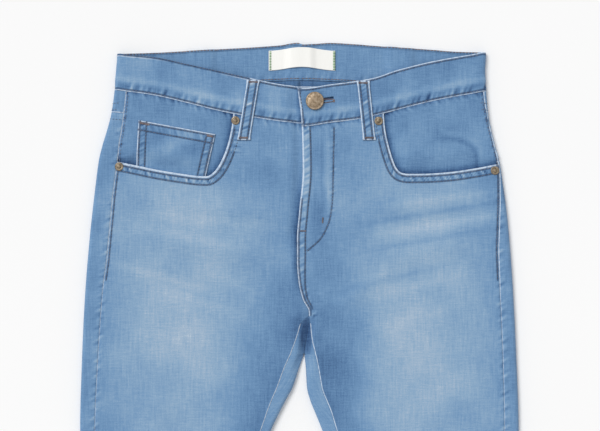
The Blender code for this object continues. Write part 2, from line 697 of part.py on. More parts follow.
def pocket_facing(name, side, cloth):
    """Between waist seam, outseam and a line some way behind the pocket mouth."""
    mx, md = mouth_line(side, np.linspace(1, 0, 15))
    dx, dd = np.gradient(mx), np.gradient(md)
    size = np.hypot(dx, dd)
    reach = POCKET_REACH * np.interp(np.linspace(0, 1, len(mx)), (0, 0.6, 1), (1, 1, 0.5))
    low_x = mx - side * (dd / size) * reach
    low_d = md + np.abs(dx / size) * reach
    low_x[-1] = mx[-1] - side * 4.0
    low_x[0] = mx[0] - side * 11.0
    low_d[0] = md[0] + 4.0
    top_x = np.linspace(mx[0] - side * 11.0, outseam_x(side, np.array(48.0)), len(mx))
    top_d = band_edge("front", "low", top_x) + SEAM_GAP
    height = np.hypot(top_x - mx, top_d - md)
    steps = np.array([23.0, 18.0, 14.0, 10.0, 6.0, 1.0, 0.0])[:, None]
    near = 1 - steps * np.minimum(1.0, 0.8 * height / 23.0) / np.maximum(height, 1e-6)
    shares = np.concatenate([np.linspace(0, 1, 4)[:-1, None] * near[0], near])
    x = top_x + (mx - top_x) * shares
    down = top_d + (md - top_d) * shares
    under = np.array([0.3, 0.65, 1.0])[:, None]
    x = np.concatenate([x, mx + (low_x - mx) * under])
    down = np.concatenate([down, md + (low_d - md) * under])
    inset = np.interp(down[:, -1] - md[-1], (-1.6, 0.0, POCKET_REACH), (SEAM_GAP, 1.4, 7.0))
    s = run_of_x(side, x, down)
    s[:, -1] = run_of_x(side, outseam_x(side, down[:, -1]), down[:, -1]) + inset
    x = surface(side, s, down)[..., 0]
    return wall(name, side, s, down, cloth, out=-facing_sink(side, x, down), thick=FACING)


COIN_CORNERS = np.array([[-155.5, 75.0], [-81.6, 88.6], [-158.4, 127.6], [-93.0, 137.0]])


def coin_pocket(cloth):
    """Patch on the right facing, whose lower end goes in behind the pocket mouth."""
    u, v = np.meshgrid(np.linspace(0, 1, 7), np.linspace(0, 1, 7))
    corners = COIN_CORNERS[:, None, None, :]
    spot = (corners[0] * ((1 - u) * (1 - v))[..., None] + corners[1] * (u * (1 - v))[..., None]
            + corners[2] * ((1 - u) * v)[..., None] + corners[3] * (u * v)[..., None])
    x, down = spot[..., 0], spot[..., 1]
    out = FACING + 1.6 * SEAM_GAP - facing_sink(-1, x, down)
    return wall("coin_pocket", -1, run_of_x(-1, x, down), down, cloth, out=out, thick=FACING)


def back_pocket(name, side, cloth):
    u, v = np.meshgrid(np.linspace(-1, 1, 7), np.linspace(0, 1, 6))
    width = POCKET_WIDE + (POCKET_NARROW - POCKET_WIDE) * v
    x = side * (POCKET_X + u * width / 2)
    low = yoke_seam(POCKET_X) + POCKET_TOP + POCKET_HIGH + POCKET_POINT * (1 - np.abs(u))
    top = yoke_seam(x) + POCKET_TOP
    down = top + v * (low - top)
    return wall(name, side, -run_of_x(side, x, down), down, cloth, out=POCKET_THICK + SEAM_GAP, thick=POCKET_THICK)


def belt_loop(name, place, front, cloth):
    """Strip over the waistband, whose ends are a little wider than its body."""
    x_top, down_top, x_low, down_low = place
    across = np.array([-0.5, -0.18, 0.18, 0.5])
    share = np.array([0, 0.07, 0.1, 0.3, 0.5, 0.62, 0.7, 0.9, 0.93, 1.0])[:, None]
    width = np.where((share < 0.08) | (share > 0.92), LOOP_WIDTH, LOOP_BODY)
    x = x_top + (x_low - x_top) * share + across * width
    down = down_top + (down_low - down_top) * share + across * 0.0
    side = -1 if x_top < 0 else 1
    s = run_of_x(side, x, down)
    if front:
        level = 0.0 if side < 0 else end_level("top", x)
        return wall(name, side, s, down, cloth, out=level + LOOP_GAP + LOOP_THICK, thick=LOOP_THICK)
    return wall(name, side, -s, down, cloth, out=LOOP_THICK + LOOP_GAP, thick=LOOP_THICK)


LABEL_X, LABEL_TOP, LABEL_WIDE, LABEL_HIGH, LABEL_THICK = 1.4, 6.4, 64.0, 18.6, 1.0


def label(cloth):
    """Blank woven label on the inner face of the back waistband, bowed up a little at its middle."""
    u, v = np.meshgrid(np.linspace(-1, 1, 11), np.linspace(0, 1, 4))
    x = LABEL_X + u * LABEL_WIDE / 2
    bow = 1 - smooth(np.abs(u) * 1.1)
    down = LABEL_TOP + 1.6 * smooth(np.abs(u)) + v * LABEL_HIGH - 2.6 * v * bow
    rest = back_height(x, down) + BAND + SEAM_GAP
    low = np.stack([x, -down, rest + 0.9 * bow], axis=-1)
    high = low + np.array([0, 0, LABEL_THICK])
    return wall_mesh("label", high, low, np.ones((3, 10), bool), cloth)


# ---------------------------------------------------------------- hard pieces

def turned(name, profile, base, normal, metal, segments):
    """Solid turned from (radius, height) pairs about the normal at base. The first and last radius are 0."""
    bm = bmesh.new()
    edge = [bm.verts.new((r * MM, 0, h * MM)) for r, h in profile]
    for a, b in zip(edge, edge[1:]):
        bm.edges.new((a, b))
    bmesh.ops.spin(bm, geom=bm.verts[:] + bm.edges[:], cent=(0, 0, 0), axis=(0, 0, 1), angle=2 * math.pi,
                   steps=segments, use_merge=True)
    bmesh.ops.remove_doubles(bm, verts=bm.verts, dist=1e-6)
    bmesh.ops.recalc_face_normals(bm, faces=bm.faces)
    turn = Vector((0, 0, 1)).rotation_difference(Vector(normal)).to_matrix().to_4x4()
    bm.transform(Matrix.Translation(Vector(base) * MM) @ turn)
    mesh = bpy.data.meshes.new(name)
    bm.to_mesh(mesh)
    bm.free()
    return finish_object(name, mesh, metal)


BUTTON_R = 8.7
BUTTON_CAP = ((0.0, 0.3), (2.6, 0.3), (2.6, 3.2), (7.9, 3.2), (8.6, 3.6), (BUTTON_R, 4.4), (8.4, 5.2), (7.6, 5.6),
              (4.0, 6.0), (0.0, 6.1))
RIVET_R = 4.1
RIVET_SHAPE = ((0.0, 0.3), (RIVET_R, 0.3), (RIVET_R, 0.8), (3.4, 1.4), (2.0, 1.5), (1.5, 2.1), (0.0, 2.3))
RIVETS = table("side x down", (-1, -62.4, 75.4), (-1, -174.0, 119.6), (1, 75.0, 75.8), (1, 186.6, 123.4))
RIVET_NAMES = ("rivet_right_inner", "rivet_right_outer", "rivet_left_inner", "rivet_left_outer")


def button(metal):
    """Cap and shank. The shank stands on the waistband's button end and comes up through the buttonhole."""
    x, down = np.array([BUTTON_X]), np.array([BUTTON_DOWN])
    base = surface(1, run_of_x(1, x, down), down)[0]
    base[2] += float(end_level("under", x)[0])
    return turned("button", BUTTON_CAP, base, (0, 0, 1), metal, 28)


def rivet(name, side, x, down, metal):
    x, down = np.array([x]), np.array([down])
    s = run_of_x(side, x, down)
    return turned(name, RIVET_SHAPE, surface(side, s, down)[0], normals(side, s, down)[0], metal, 16)


ZIP_X, ZIP_TOP, ZIP_LOW = 12.0, 84.0, 176.0
ZIP_DROP = 2 * (PANEL + SEAM_GAP)
ZIP_TAPE, ZIP_CHAIN = 1.1, 0.9


def zip_chain(cloth):
    """Closed zip behind the fly: a tape with the chain as a ridge along it."""
    across = np.array([-13.0, -6.0, 2.0, 3.0, 7.0, 8.0, 13.0])
    ridge = np.array([0, 0, 0, 1, 1, 0, 0.0])
    down = np.linspace(ZIP_TOP, ZIP_LOW, 7)
    x = ZIP_X + across[None] + np.zeros((7, 1))
    drop = np.repeat(down[:, None], 7, axis=1)
    level = surface(1, run_of_x(1, x, drop), drop)[..., 2] - ZIP_DROP
    low = np.stack([x, -drop, level - ZIP_TAPE], axis=-1)
    high = np.stack([x, -drop, level + ridge[None] * ZIP_CHAIN], axis=-1)
    return wall_mesh("zip", high, low, np.ones((6, 6), bool), cloth)


# ---------------------------------------------------------------- the garment

def to_ground_centre():
    """Shifts everything so that the origin is the middle of the underside."""
    corners = np.array([v.co for obj in MADE for v in obj.data.vertices])
    low, high = corners.min(axis=0), corners.max(axis=0)
    shift = Matrix.Translation((-(low[0] + high[0]) / 2, -(low[1] + high[1]) / 2, -low[2]))
    for obj in MADE:
        obj.data.transform(shift)
    return shift


def build():
    for obj in list(bpy.data.objects):
        bpy.data.objects.remove(obj)
    denim = material("denim", (0.22, 0.35, 0.50), 0.9)
    woven_label = material("label_cloth", (0.92, 0.92, 0.88), 0.8)
    bronze = material("aged_bronze", (0.38, 0.30, 0.21), 0.45, 1.0)
    zip_tape = material("zip_tape", (0.20, 0.32, 0.50), 0.8)
    for word, side in (("right", -1), ("left", 1)):
        front_panel(f"front_{word}", side, denim)
        back_panel(f"back_{word}", side, denim)
        yoke(f"yoke_{word}", side, denim)
        pocket_facing(f"pocket_facing_{word}", side, denim)
        back_pocket(f"back_pocket_{word}", side, denim)
    waistband(denim)
    coin_pocket(denim)
    for name, place in zip(("right", "left"), zip(*FRONT_LOOPS.values())):
        belt_loop(f"belt_loop_front_{name}", place, True, denim)
    for name, place in zip(("right", "left", "centre"), zip(*BACK_LOOPS.values())):
        belt_loop(f"belt_loop_back_{name}", place, False, denim)
    label(woven_label)
    button(bronze)
    for name, side, x, down in zip(RIVET_NAMES, *RIVETS.values()):
        rivet(name, int(side), x, down, bronze)
    zip_chain(zip_tape)
    to_ground_centre()


build()
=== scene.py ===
"""Light-washed skinny jeans laid flat on their back, front up.

Every cloth piece is cut from one garment surface. A point of it has a side (-1 the wearer's right, which
lies at -X, and +1 the left), a run s from the side fold (positive over the front sheet, negative over the
back sheet) and a drop "down" below the top of the back waist. It also has flat coordinates: u across the
cloth, which is x over a sheet, and down. Sizes are in millimetres and become metres in new_object.
"""

import math

import bpy
import numpy as np
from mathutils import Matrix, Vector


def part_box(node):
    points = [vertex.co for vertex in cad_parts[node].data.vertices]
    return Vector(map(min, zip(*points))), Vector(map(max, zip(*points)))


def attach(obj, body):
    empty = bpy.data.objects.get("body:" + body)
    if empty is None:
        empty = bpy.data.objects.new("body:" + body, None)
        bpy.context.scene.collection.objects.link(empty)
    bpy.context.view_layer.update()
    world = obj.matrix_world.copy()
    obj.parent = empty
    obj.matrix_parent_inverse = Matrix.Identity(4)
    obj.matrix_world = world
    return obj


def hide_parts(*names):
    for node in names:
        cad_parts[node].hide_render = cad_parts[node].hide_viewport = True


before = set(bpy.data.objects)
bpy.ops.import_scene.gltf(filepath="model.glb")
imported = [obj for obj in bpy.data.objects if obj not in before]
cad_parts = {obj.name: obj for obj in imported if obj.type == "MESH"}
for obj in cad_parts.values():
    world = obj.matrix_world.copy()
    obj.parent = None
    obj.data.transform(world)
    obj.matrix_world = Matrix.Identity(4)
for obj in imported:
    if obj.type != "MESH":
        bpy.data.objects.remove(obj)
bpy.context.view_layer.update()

MM = 0.001
CLOTH_UNIT = 100.0          # millimetres of cloth to one unit of the flat coordinates in the materials
LINE_STEP = 1.5             # between the points of a line of sewing
FAR = 30.0                  # stands for a line that is too far away to show

# Driving sizes of the garment
PANEL = 1.2                 # denim of the legs and yokes
BAND = 2.2                  # doubled denim of the waistband
FACING = 1.1
HEM = 2.3                   # denim turned up twice at the ankle
HEM_HEIGHT = 12.0
LAYER_GAP = 0.3
LOOP_THICK = 1.6
LOOP_GAP = 0.4
POCKET_THICK = 1.2
ROLL = 1.1                  # breadth of a side fold over its half height
QUARTER = 1.63              # run of a quarter fold over its half height
LENGTH = 1036.0             # top of the back waist to the hem
SPLIT = 300.0               # where the two legs part
CROTCH = 263.0              # where the four leg seams meet
FLY_END = 178.0             # bar tack that closes the fly
UNDERLAP = 6.0              # right front under the fly edge
BAND_UNDERLAP = 34.0        # waistband's button end under its buttonhole end
GROOVE = 8.0                # half width of the hollow between the thighs
LOWEST_CREST = 2.8          # height of the cloth in that hollow
POCKET_REACH = 24.0         # how far a pocket facing goes on behind the mouth
EDGE_STEP = 0.05            # step over which the surface's slopes are taken
TAB_STEP = 3.0              # half the breadth over which the waistband steps down at the fly

# Relief of the cloth
PUCKER = 0.22               # height of a pucker of unit size
STITCH_GROOVE, STITCH_GROOVE_WIDTH = 0.2, 0.8
SEAM_RIDGE, SEAM_RIDGE_WIDTH = 0.25, 1.1
CLOTH_EDGE, CLOTH_EDGE_WIDTH = 0.5, 0.9
BAND_EDGE, BAND_EDGE_WIDTH = 0.55, 1.0

# Sewing
STITCH_PITCH = 3.1
STITCH_LENGTH = 2.5
THREAD_RADIUS = 0.36
ROW_INSET = 1.9             # first row of stitching from an edge
ROW_GAP = 6.4               # second row from the first
FLY_INSET = 1.8             # first row from the centre seam
LOOP_ROW = 3.3              # rows of a belt loop from its middle
TURNED_X = -48.0            # to the wearer's right of it the front waistband's top edge is pressed over
TURNED_INSET = 0.6          # and its top row lies this far from the edge
# First and second row of a pocket mouth from its edge, by side
MOUTH_ROW = {-1: 3.0, 1: 2.5}
MOUTH_HEM = {-1: 8.3, 1: 8.1}

BUTTON_X, BUTTON_DOWN = 13.7, 56.6


def table(names, *rows):
    """A table with named columns. The first column is the one it is read by."""
    return dict(zip(names.split(), np.array(rows, float).T))


OUTLINE = table(
    "down right left",
    (0.0, 176.6, 178.6),
    (12.5, 176.6, 178.6),
    (27.0, 177.6, 177.8),
    (48.0, 179.2, 178.8),
    (70.0, 182.4, 180.8),
    (84.5, 186.2, 183.6),
    (99.0, 190.6, 187.2),
    (113.0, 194.0, 191.0),
    (142.0, 197.8, 195.8),
    (185.0, 202.6, 200.6),
    (243.0, 207.4, 204.8),
    (300.0, 210.2, 207.6),
    (373.0, 212.2, 210.0),
    (470.0, 211.0, 209.4),
    (603.0, 206.4, 205.0),
    (800.0, 199.0, 198.0),
    (1036.0, 186.0, 185.0),
)
# How far the outseam lies in from the outline, over the front
OUTSEAM = table(
    "down right left",
    (0.0, 12.0, 3.6),
    (50.0, 12.0, 3.0),
    (66.0, 12.5, 2.0),
    (92.0, 15.5, 1.2),
    (117.0, 18.6, 1.4),
    (144.0, 18.4, 4.5),
    (177.0, 19.0, 9.0),
    (205.0, 19.0, 12.0),
    (240.0, 17.2, 12.8),
    (294.0, 16.0, 13.0),
    (373.0, 14.6, 13.8),
    (1036.0, 11.0, 11.0),
)
# The centre seam of the front: the fly edge, then the seam that curves away between the thighs
CENTRE_FRONT = table(
    "down x",
    (43.0, -3.0),
    (81.0, 1.2),
    (123.0, 2.1),
    (163.0, -1.3),
    (190.0, -3.4),
    (210.0, -3.4),
    (230.0, -1.9),
    (247.0, 2.1),
    (259.0, 8.0),
    (263.0, 8.2),
    (300.0, 3.6),
)
CENTRE_BACK = table("down x", (0.0, 0.0), (40.0, 0.0), (300.0, 3.6))
INNER = table(
    "down right left",
    (300.0, -3.4, 3.8),
    (315.0, 1.9, 5.2),
    (332.0, 7.6, 6.2),
    (344.0, 14.0, 9.2),
    (358.0, 21.2, 14.8),
    (373.0, 28.2, 20.8),
    (411.0, 39.4, 33.0),
    (450.0, 46.6, 41.5),
    (497.0, 51.0, 47.0),
    (603.0, 54.7, 52.5),
    (800.0, 56.4, 55.0),
    (1036.0, 59.0, 58.0),
)
INSEAM = table(
    "down right left",
    (263.0, 0.0, 0.0),
    (271.0, 7.6, 1.6),
    (279.4, 9.0, 3.4),
    (288.0, 10.4, 6.0),
    (300.5, 13.0, 10.6),
    (318.0, 14.4, 12.6),
    (330.0, 14.8, 14.0),
    (350.0, 12.8, 16.0),
    (373.0, 9.8, 14.0),
    (450.0, 9.0, 11.0),
    (1036.0, 9.0, 10.0),
)
DEPTH = table(
    "down height",
    (0.0, 7.5),
    (150.0, 7.6),
    (263.0, 7.2),
    (373.0, 6.8),
    (603.0, 6.2),
    (1036.0, 5.6),
)
CREST = table(
    "down share",
    (244.0, 1.0),
    (252.0, 0.96),
    (262.0, 0.66),
    (272.0, 0.40),
    (294.0, 0.0),
    (304.0, 0.0),
    (322.0, 0.75),
    (345.0, 1.0),
)
BAND_EDGES = table(
    "x front_top front_low back_top back_low",
    (-180.0, 10.8, 45.9, 10.8, 45.9),
    (-142.0, 14.2, 51.0, 9.8, 45.0),
    (-109.0, 21.1, 58.5, 8.0, 42.8),
    (-82.0, 27.0, 65.3, 6.5, 40.6),
    (-51.0, 33.9, 71.4, 4.8, 38.6),
    (-20.0, 40.4, 76.2, 2.6, 37.0),
    (-3.0, 42.6, 78.2, 0.8, 36.5),
    (3.0, 44.2, 81.0, 2.0, 36.5),
    (28.0, 40.8, 77.6, 0.2, 37.2),
    (54.0, 37.4, 74.4, 1.6, 38.6),
    (71.0, 34.2, 70.8, 3.0, 39.8),
    (93.0, 26.9, 65.2, 4.6, 41.2),
    (126.0, 18.7, 57.0, 6.8, 43.6),
    (152.0, 13.9, 51.9, 8.8, 45.2),
    (180.0, 9.4, 47.2, 9.4, 47.2),
)
YOKE_SEAM = table(
    "across down",
    (0.0, 91.0),
    (60.0, 84.0),
    (120.0, 75.0),
    (170.0, 68.5),
    (200.0, 66.0),
)
# Front pocket mouths, from the waist seam to the outseam: how far from the centre line, and down
MOUTH = {
    -1: table(
        "x down",
        (64.6, 69.2), (66.2, 82.0), (69.0, 95.0), (72.8, 106.5), (77.6, 117.0), (83.4, 125.0),
        (90.0, 128.9), (98.0, 128.6), (116.0, 126.2), (136.0, 123.0), (158.0, 118.4), (175.6, 114.8),
    ),
    1: table(
        "x down",
        (80.0, 69.4), (81.4, 84.0), (84.6, 99.0), (88.6, 112.5), (92.2, 121.0), (96.6, 125.3),
        (104.0, 126.6), (120.0, 126.4), (142.0, 125.0), (166.0, 121.6), (190.4, 117.0),
    ),
}
# Folds of the front: a long low ridge or trough around a line that leans from +X, on one side
FOLDS = table(
    "x down lean length width height",
    (-80.0, 158.0, -12.0, 150.0, 9.0, 0.9),
    (-95.0, 196.0, -9.0, 170.0, 11.0, 0.9),
    (-100.0, 236.0, -4.0, 150.0, 13.0, -0.7),
    (-10.5, 140.0, 89.0, 90.0, 5.0, -0.6),
    (120.0, 150.0, 12.0, 140.0, 8.0, 1.0),
    (132.0, 172.0, 10.0, 110.0, 7.0, -0.8),
    (105.0, 205.0, 13.0, 150.0, 11.0, 0.8),
    (60.0, 238.0, 34.0, 90.0, 9.0, 0.8),
    (-50.0, 246.0, -32.0, 90.0, 9.0, 0.7),
    (-150.0, 420.0, 78.0, 260.0, 16.0, 0.9),
    (140.0, 470.0, -80.0, 280.0, 16.0, 0.8),
    (-130.0, 622.0, 8.0, 110.0, 10.0, 0.9),
    (126.0, 646.0, -10.0, 110.0, 10.0, 0.8),
    (-118.0, 900.0, 20.0, 90.0, 11.0, 0.7),
    (128.0, 870.0, -18.0, 90.0, 11.0, 0.7),
)
# Middles of the belt loops' two ends
FRONT_LOOPS = table(
    "x_top down_top x_low down_low",
    (-45.3, 36.4, -54.6, 94.2),
    (60.0, 37.2, 66.0, 94.2),
)
BACK_LOOPS = table(
    "x_top down_top x_low down_low",
    (-96.0, 8.4, -98.0, 65.0),
    (96.0, 5.8, 98.0, 62.6),
    (0.0, 3.6, 0.0, 60.0),
)
LOOP_WIDTH = 12.6           # at its sewn ends
LOOP_BODY = 11.6
# Back pockets
POCKET_X = 86.0             # middle
POCKET_TOP = 15.0           # below the yoke seam
POCKET_WIDE = 128.0         # at the top edge
POCKET_NARROW = 112.0       # at the corners
POCKET_HIGH = 128.0         # from the top edge to the corners
POCKET_POINT = 14.0         # from the corners to the point
LIFT_BLEND = 8.0            # breadth over which the back sheet rises to lie over a pocket or belt loop


# ---------------------------------------------------------------- the garment's surface

def read(tab, column, at):
    """Smooth curve through one column of a table: a cubic between rows that never overshoots them."""
    x, y = next(iter(tab.values())), tab[column]
    step = np.diff(x)
    slope = np.diff(y) / step
    pair = slope[:-1] * slope[1:]
    bend = np.where(pair > 0, 2 * pair / np.where(pair > 0, slope[:-1] + slope[1:], 1.0), 0.0)
    tangent = np.concatenate([slope[:1], bend, slope[-1:]])
    i = np.clip(np.searchsorted(x, at) - 1, 0, len(x) - 2)
    t = np.clip((at - x[i]) / step[i], 0.0, 1.0)
    return (
        y[i] * (1 + 2 * t) * (1 - t) ** 2
        + step[i] * tangent[i] * t * (1 - t) ** 2
        + y[i + 1] * t * t * (3 - 2 * t)
        + step[i] * tangent[i + 1] * t * t * (t - 1)
    )


def two_sided(tab, side, down):
    """A table's right or left column, by side."""
    return np.where(side < 0, read(tab, "right", down), read(tab, "left", down))


def smooth(t):
    """Runs from 0 to 1 with level ends."""
    t = np.clip(t, 0.0, 1.0)
    return t * t * (3 - 2 * t)


def mound(distance, width):
    """Bell-shaped bump of height 1, down to 0.37 at its width."""
    return np.exp(-((distance / width) ** 2))


def middle_x(side, down):
    """Signed x of the inner edge of a side's front sheet: the centre line, then the leg's inner edge."""
    return np.where(down < SPLIT, read(CENTRE_FRONT, "x", down), side * two_sided(INNER, side, down))


def crest(down):
    """Height of the cloth at the middle line or the inner edge."""
    full = read(DEPTH, "height", down)
    return LOWEST_CREST + (full - LOWEST_CREST) * read(CREST, "share", down)


def fold_relief(x, down, folds=FOLDS):
    """Sum of long folds: a bump across each fold's line, fading towards its ends."""
    total = np.zeros(np.broadcast(x, down).shape)
    for fx, fd, lean, length, width, height in zip(*folds.values()):
        c, s = math.cos(math.radians(lean)), math.sin(math.radians(lean))
        along = (x - fx) * c - (down - fd) * s
        across = (x - fx) * s + (down - fd) * c
        fade = 1 - smooth(np.abs(2 * along / length) ** 1.5)
        total += height * mound(across, width) * fade
    return total


def front_height(side, x, down):
    """Height of the front sheet's outer face over the surface that the jeans lie on."""
    full = read(DEPTH, "height", down)
    away = np.abs(x - middle_x(side, down))
    edge = np.abs(np.abs(x) - two_sided(OUTLINE, side, down))
    # No folds at the outline, the waist, the hem or the inner edge
    calm = smooth(edge / 18.0) * smooth((down - 136.0) / 34.0) * smooth((LENGTH - down) / 60.0)
    calm = calm * np.where(down < CROTCH - 20.0, 1.0, smooth(away / 26.0))
    height = full + fold_relief(x, down) * calm
    return height - (height - crest(down)) * (1 - smooth(away / GROOVE))


def yoke_seam(x):
    """Drop of the seam between yoke and back panel."""
    return read(YOKE_SEAM, "down", np.abs(x))


def box_lift(x, down, x0, top, low, half_width, lift):
    """Lift over a piece under the back sheet, falling away around it."""
    across = np.maximum(np.abs(x - x0) - half_width, 0.0)
    over = np.maximum(np.maximum(top - down, down - low), 0.0)
    return lift * (1 - smooth(np.hypot(across, over) / LIFT_BLEND))


def back_height(x, down):
    """Height of the back sheet's outer face: flat on the ground, but lifted over pockets and belt loops."""
    top = yoke_seam(x) + POCKET_TOP - 1.0
    low = yoke_seam(POCKET_X) + POCKET_TOP + POCKET_HIGH + POCKET_POINT + 4.0
    lift = box_lift(np.abs(x), down, POCKET_X, top, low, POCKET_WIDE / 2 + 1.0, POCKET_THICK + LAYER_GAP)
    for x_top, down_top, _, down_low in zip(*BACK_LOOPS.values()):
        lift = np.maximum(lift, box_lift(x, down, x_top, down_top - 1.0, down_low + 1.0,
                                         LOOP_WIDTH / 2 + 2.0, LOOP_THICK + LOOP_GAP))
    return lift


def fold_sizes(down):
    """(breadth, run) of the quarter fold at the side, and of the one at the inner edge of a leg."""
    half = read(DEPTH, "height", down) / 2
    inner = np.where(down < SPLIT, 0.0, crest(down) / 2)
    return ROLL * half, QUARTER * half, ROLL * inner, QUARTER * inner


def run_of_x(side, x, down):
    """Run s over the front sheet of a point seen at x."""
    breadth, run, in_breadth, in_run = fold_sizes(down)
    outline = two_sided(OUTLINE, side, down)
    d = outline - side * x
    total = run + np.abs(outline - side * middle_x(side, down)) - breadth - in_breadth + in_run
    left = np.where(down < SPLIT, np.inf, side * (x - middle_x(side, down)))
    near = run * np.arccos(np.clip(1 - d / breadth, -1, 1)) / (math.pi / 2)
    safe = np.maximum(in_breadth, 1e-6)
    far = total - in_run * np.arccos(np.clip(1 - left / safe, -1, 1)) / (math.pi / 2)
    return np.where(d < breadth, near, np.where(left < in_breadth, far, run + d - breadth))


def whole_run(side, down):
    """Run from the side fold to the inner edge of a leg."""
    breadth, run, in_breadth, in_run = fold_sizes(down)
    width = two_sided(OUTLINE, side, down) - side * middle_x(side, down)
    return run + width - breadth - in_breadth + in_run


def surface(side, s, down):
    """Point of the garment's outer surface.

    Over each sheet x follows s. Within a quarter ellipse of the side fold, and of the inner edge of a leg,
    x and z follow the ellipse instead. A run past the inner edge comes back over the front sheet.
    """
    side, s, down = np.broadcast_arrays(np.asarray(side, float), s, down)
    breadth, run, in_breadth, in_run = fold_sizes(down)
    total = whole_run(side, down)
    parted = down >= SPLIT
    s = np.where(parted & (s < -total), s + 2 * total, s)
    a = np.abs(s)
    outline, middle = two_sided(OUTLINE, side, down), middle_x(side, down)
    turn = np.clip(a / run, 0, 1) * math.pi / 2
    in_turn = np.where(parted, np.clip((total - a) / np.maximum(in_run, 1e-6), 0, 1), 1.0) * math.pi / 2
    x = side * (outline - breadth - (a - run))
    x = np.where(a < run, side * (outline - breadth * (1 - np.cos(turn))), x)
    x = np.where(in_turn < math.pi / 2, middle + side * in_breadth * (1 - np.cos(in_turn)), x)
    sheet = np.where(s >= 0, front_height(side, x, down), back_height(x, down))
    half = read(DEPTH, "height", down) / 2
    z = half + (sheet - half) * np.sin(turn)
    half_crest = crest(down) / 2
    z = np.where(in_turn < math.pi / 2, half_crest + (sheet - half_crest) * np.sin(in_turn), z)
    return np.stack([x, -down, z], axis=-1)


def normals(side, s, down):
    """Outward normal of the surface, from its slopes along s and down."""
    e = EDGE_STEP
    across = surface(side, s + e, down) - surface(side, s - e, down)
    along = surface(side, s, down + e) - surface(side, s, down - e)
    n = np.cross(across, along) * np.asarray(side, float)[..., None]
    return n / np.linalg.norm(n, axis=-1, keepdims=True)


def spread(side, s, down):
    """Flat coordinate u of a run: x over a sheet, going on past the side fold by the length of cloth."""
    breadth, run, _, _ = fold_sizes(down)
    return side * (two_sided(OUTLINE, side, down) - breadth + run - np.abs(s))


def run_of_spread(side, u, down):
    """Distance from the side fold of a flat coordinate u, along the cloth."""
    breadth, run, _, _ = fold_sizes(down)
    return two_sided(OUTLINE, side, down) - breadth + run - side * u


# ---------------------------------------------------------------- lines of sewing

def outseam_x(side, down):
    """Where the outseam lies over the front."""
    return side * (two_sided(OUTLINE, side, down) - two_sided(OUTSEAM, side, down))


def inseam_x(side, down):
    """Where the inseam lies over the front: in from the hollow's middle, then from the leg's edge."""
    return middle_x(side, down) + side * two_sided(INSEAM, side, down)


def band_edge(sheet, level, x):
    """Drop of the waistband's "top" or "low" edge on the "front" or "back" sheet."""
    return read(BAND_EDGES, f"{sheet}_{level}", x)


def band_low(side, x):
    """Lower edge of the front waistband on one side of the fly, where its two ends have different drops."""
    return band_edge("front", "low", np.minimum(x, -TAB_STEP) if side < 0 else np.maximum(x, TAB_STEP))


def mouth_line(side, shares):
    """Points (x, down) of a front pocket's mouth, by share of its length from outseam to waist seam."""
    tab = {"t": np.linspace(0, 1, len(MOUTH[side]["x"])), **MOUTH[side]}
    fine = np.linspace(0, 1, 200)
    line = np.array([read(tab, "x", fine), read(tab, "down", fine)])
    run = lengths_along(line)
    at = run[-1] * (1 - np.asarray(shares))
    return side * np.interp(at, run, line[0]), np.interp(at, run, line[1])


def line_of(x, down):
    """A line as one array: its points' x and down."""
    return np.array(np.broadcast_arrays(x, down), float)


def lengths_along(line):
    """Run along a line from its start to each of its points."""
    return np.concatenate([[0], np.cumsum(np.hypot(*np.diff(line, axis=1)))])


def heading(line):
    """Unit direction of a line at each of its points."""
    step = np.gradient(line, axis=1)
    return step / np.hypot(*step)


def across_line(line, distance):
    """The line moved sideways in the sheet, to its left for a positive distance (seen from the front)."""
    step = heading(line)
    return line + distance * np.array([step[1], -step[0]])


def even(line):
    """The middles of the stitches along a line."""
    run = lengths_along(line)
    at = np.arange(STITCH_PITCH / 2, run[-1], STITCH_PITCH)
    return np.array([np.interp(at, run, line[0]), np.interp(at, run, line[1])])


def beside(u, down, line):
    """(signed distance, run along the line) of each point from the nearest place on a line."""
    step, run = heading(line), lengths_along(line)
    spot = np.stack([u.ravel(), down.ravel()], axis=1)
    gap, at = np.empty(len(spot)), np.empty(len(spot))
    last = line.shape[1] - 1
    for part in np.array_split(np.arange(len(spot)), len(spot) // 4000 + 1):
        dx, dd = spot[part, 0, None] - line[0], spot[part, 1, None] - line[1]
        i = np.hypot(dx, dd).argmin(axis=1)
        k = np.arange(len(part))
        dx, dd = dx[k, i], dd[k, i]
        side = step[1, i] * dx - step[0, i] * dd
        along = step[0, i] * dx + step[1, i] * dd
        past = (i == 0) & (along < 0) | (i == last) & (along > 0)
        gap[part] = np.where(past, np.copysign(np.hypot(dx, dd), side), side)
        at[part] = run[i] + along
    return gap.reshape(u.shape), at.reshape(u.shape)


def worn_distance(u, down, lines):
    """Distance to the nearest of several (line, how wide it is worn), divided by that width."""
    gap = np.full(u.shape, FAR)
    for line, width in lines:
        wide = width(down) if callable(width) else width
        gap = np.minimum(gap, np.abs(beside(u, down, line)[0]) / wide)
    return gap


def nearest(u, down, lines):
    """Distance to the nearest of several lines."""
    return worn_distance(u, down, [(line, 1.0) for line in lines])


def between(keys, step):
    """The keys, and evenly spaced values between them at most a step apart."""
    parts = []
    for a, b in zip(keys, keys[1:]):
        parts.append(np.linspace(a, b, int(math.ceil(abs(b - a) / step)) + 1)[:-1])
    return np.concatenate(parts + [[keys[-1]]])


def waves(at, seed, period):
    """Uneven ripple along a run, of about unit size: four sine waves whose periods lie around one period."""
    rng = np.random.default_rng(seed)
    total = 0.0
    for share in (0.71, 1.0, 1.33, 1.9):
        total = total + np.sin(2 * math.pi * (at / (period * share) + rng.random()))
    return total / 1.6


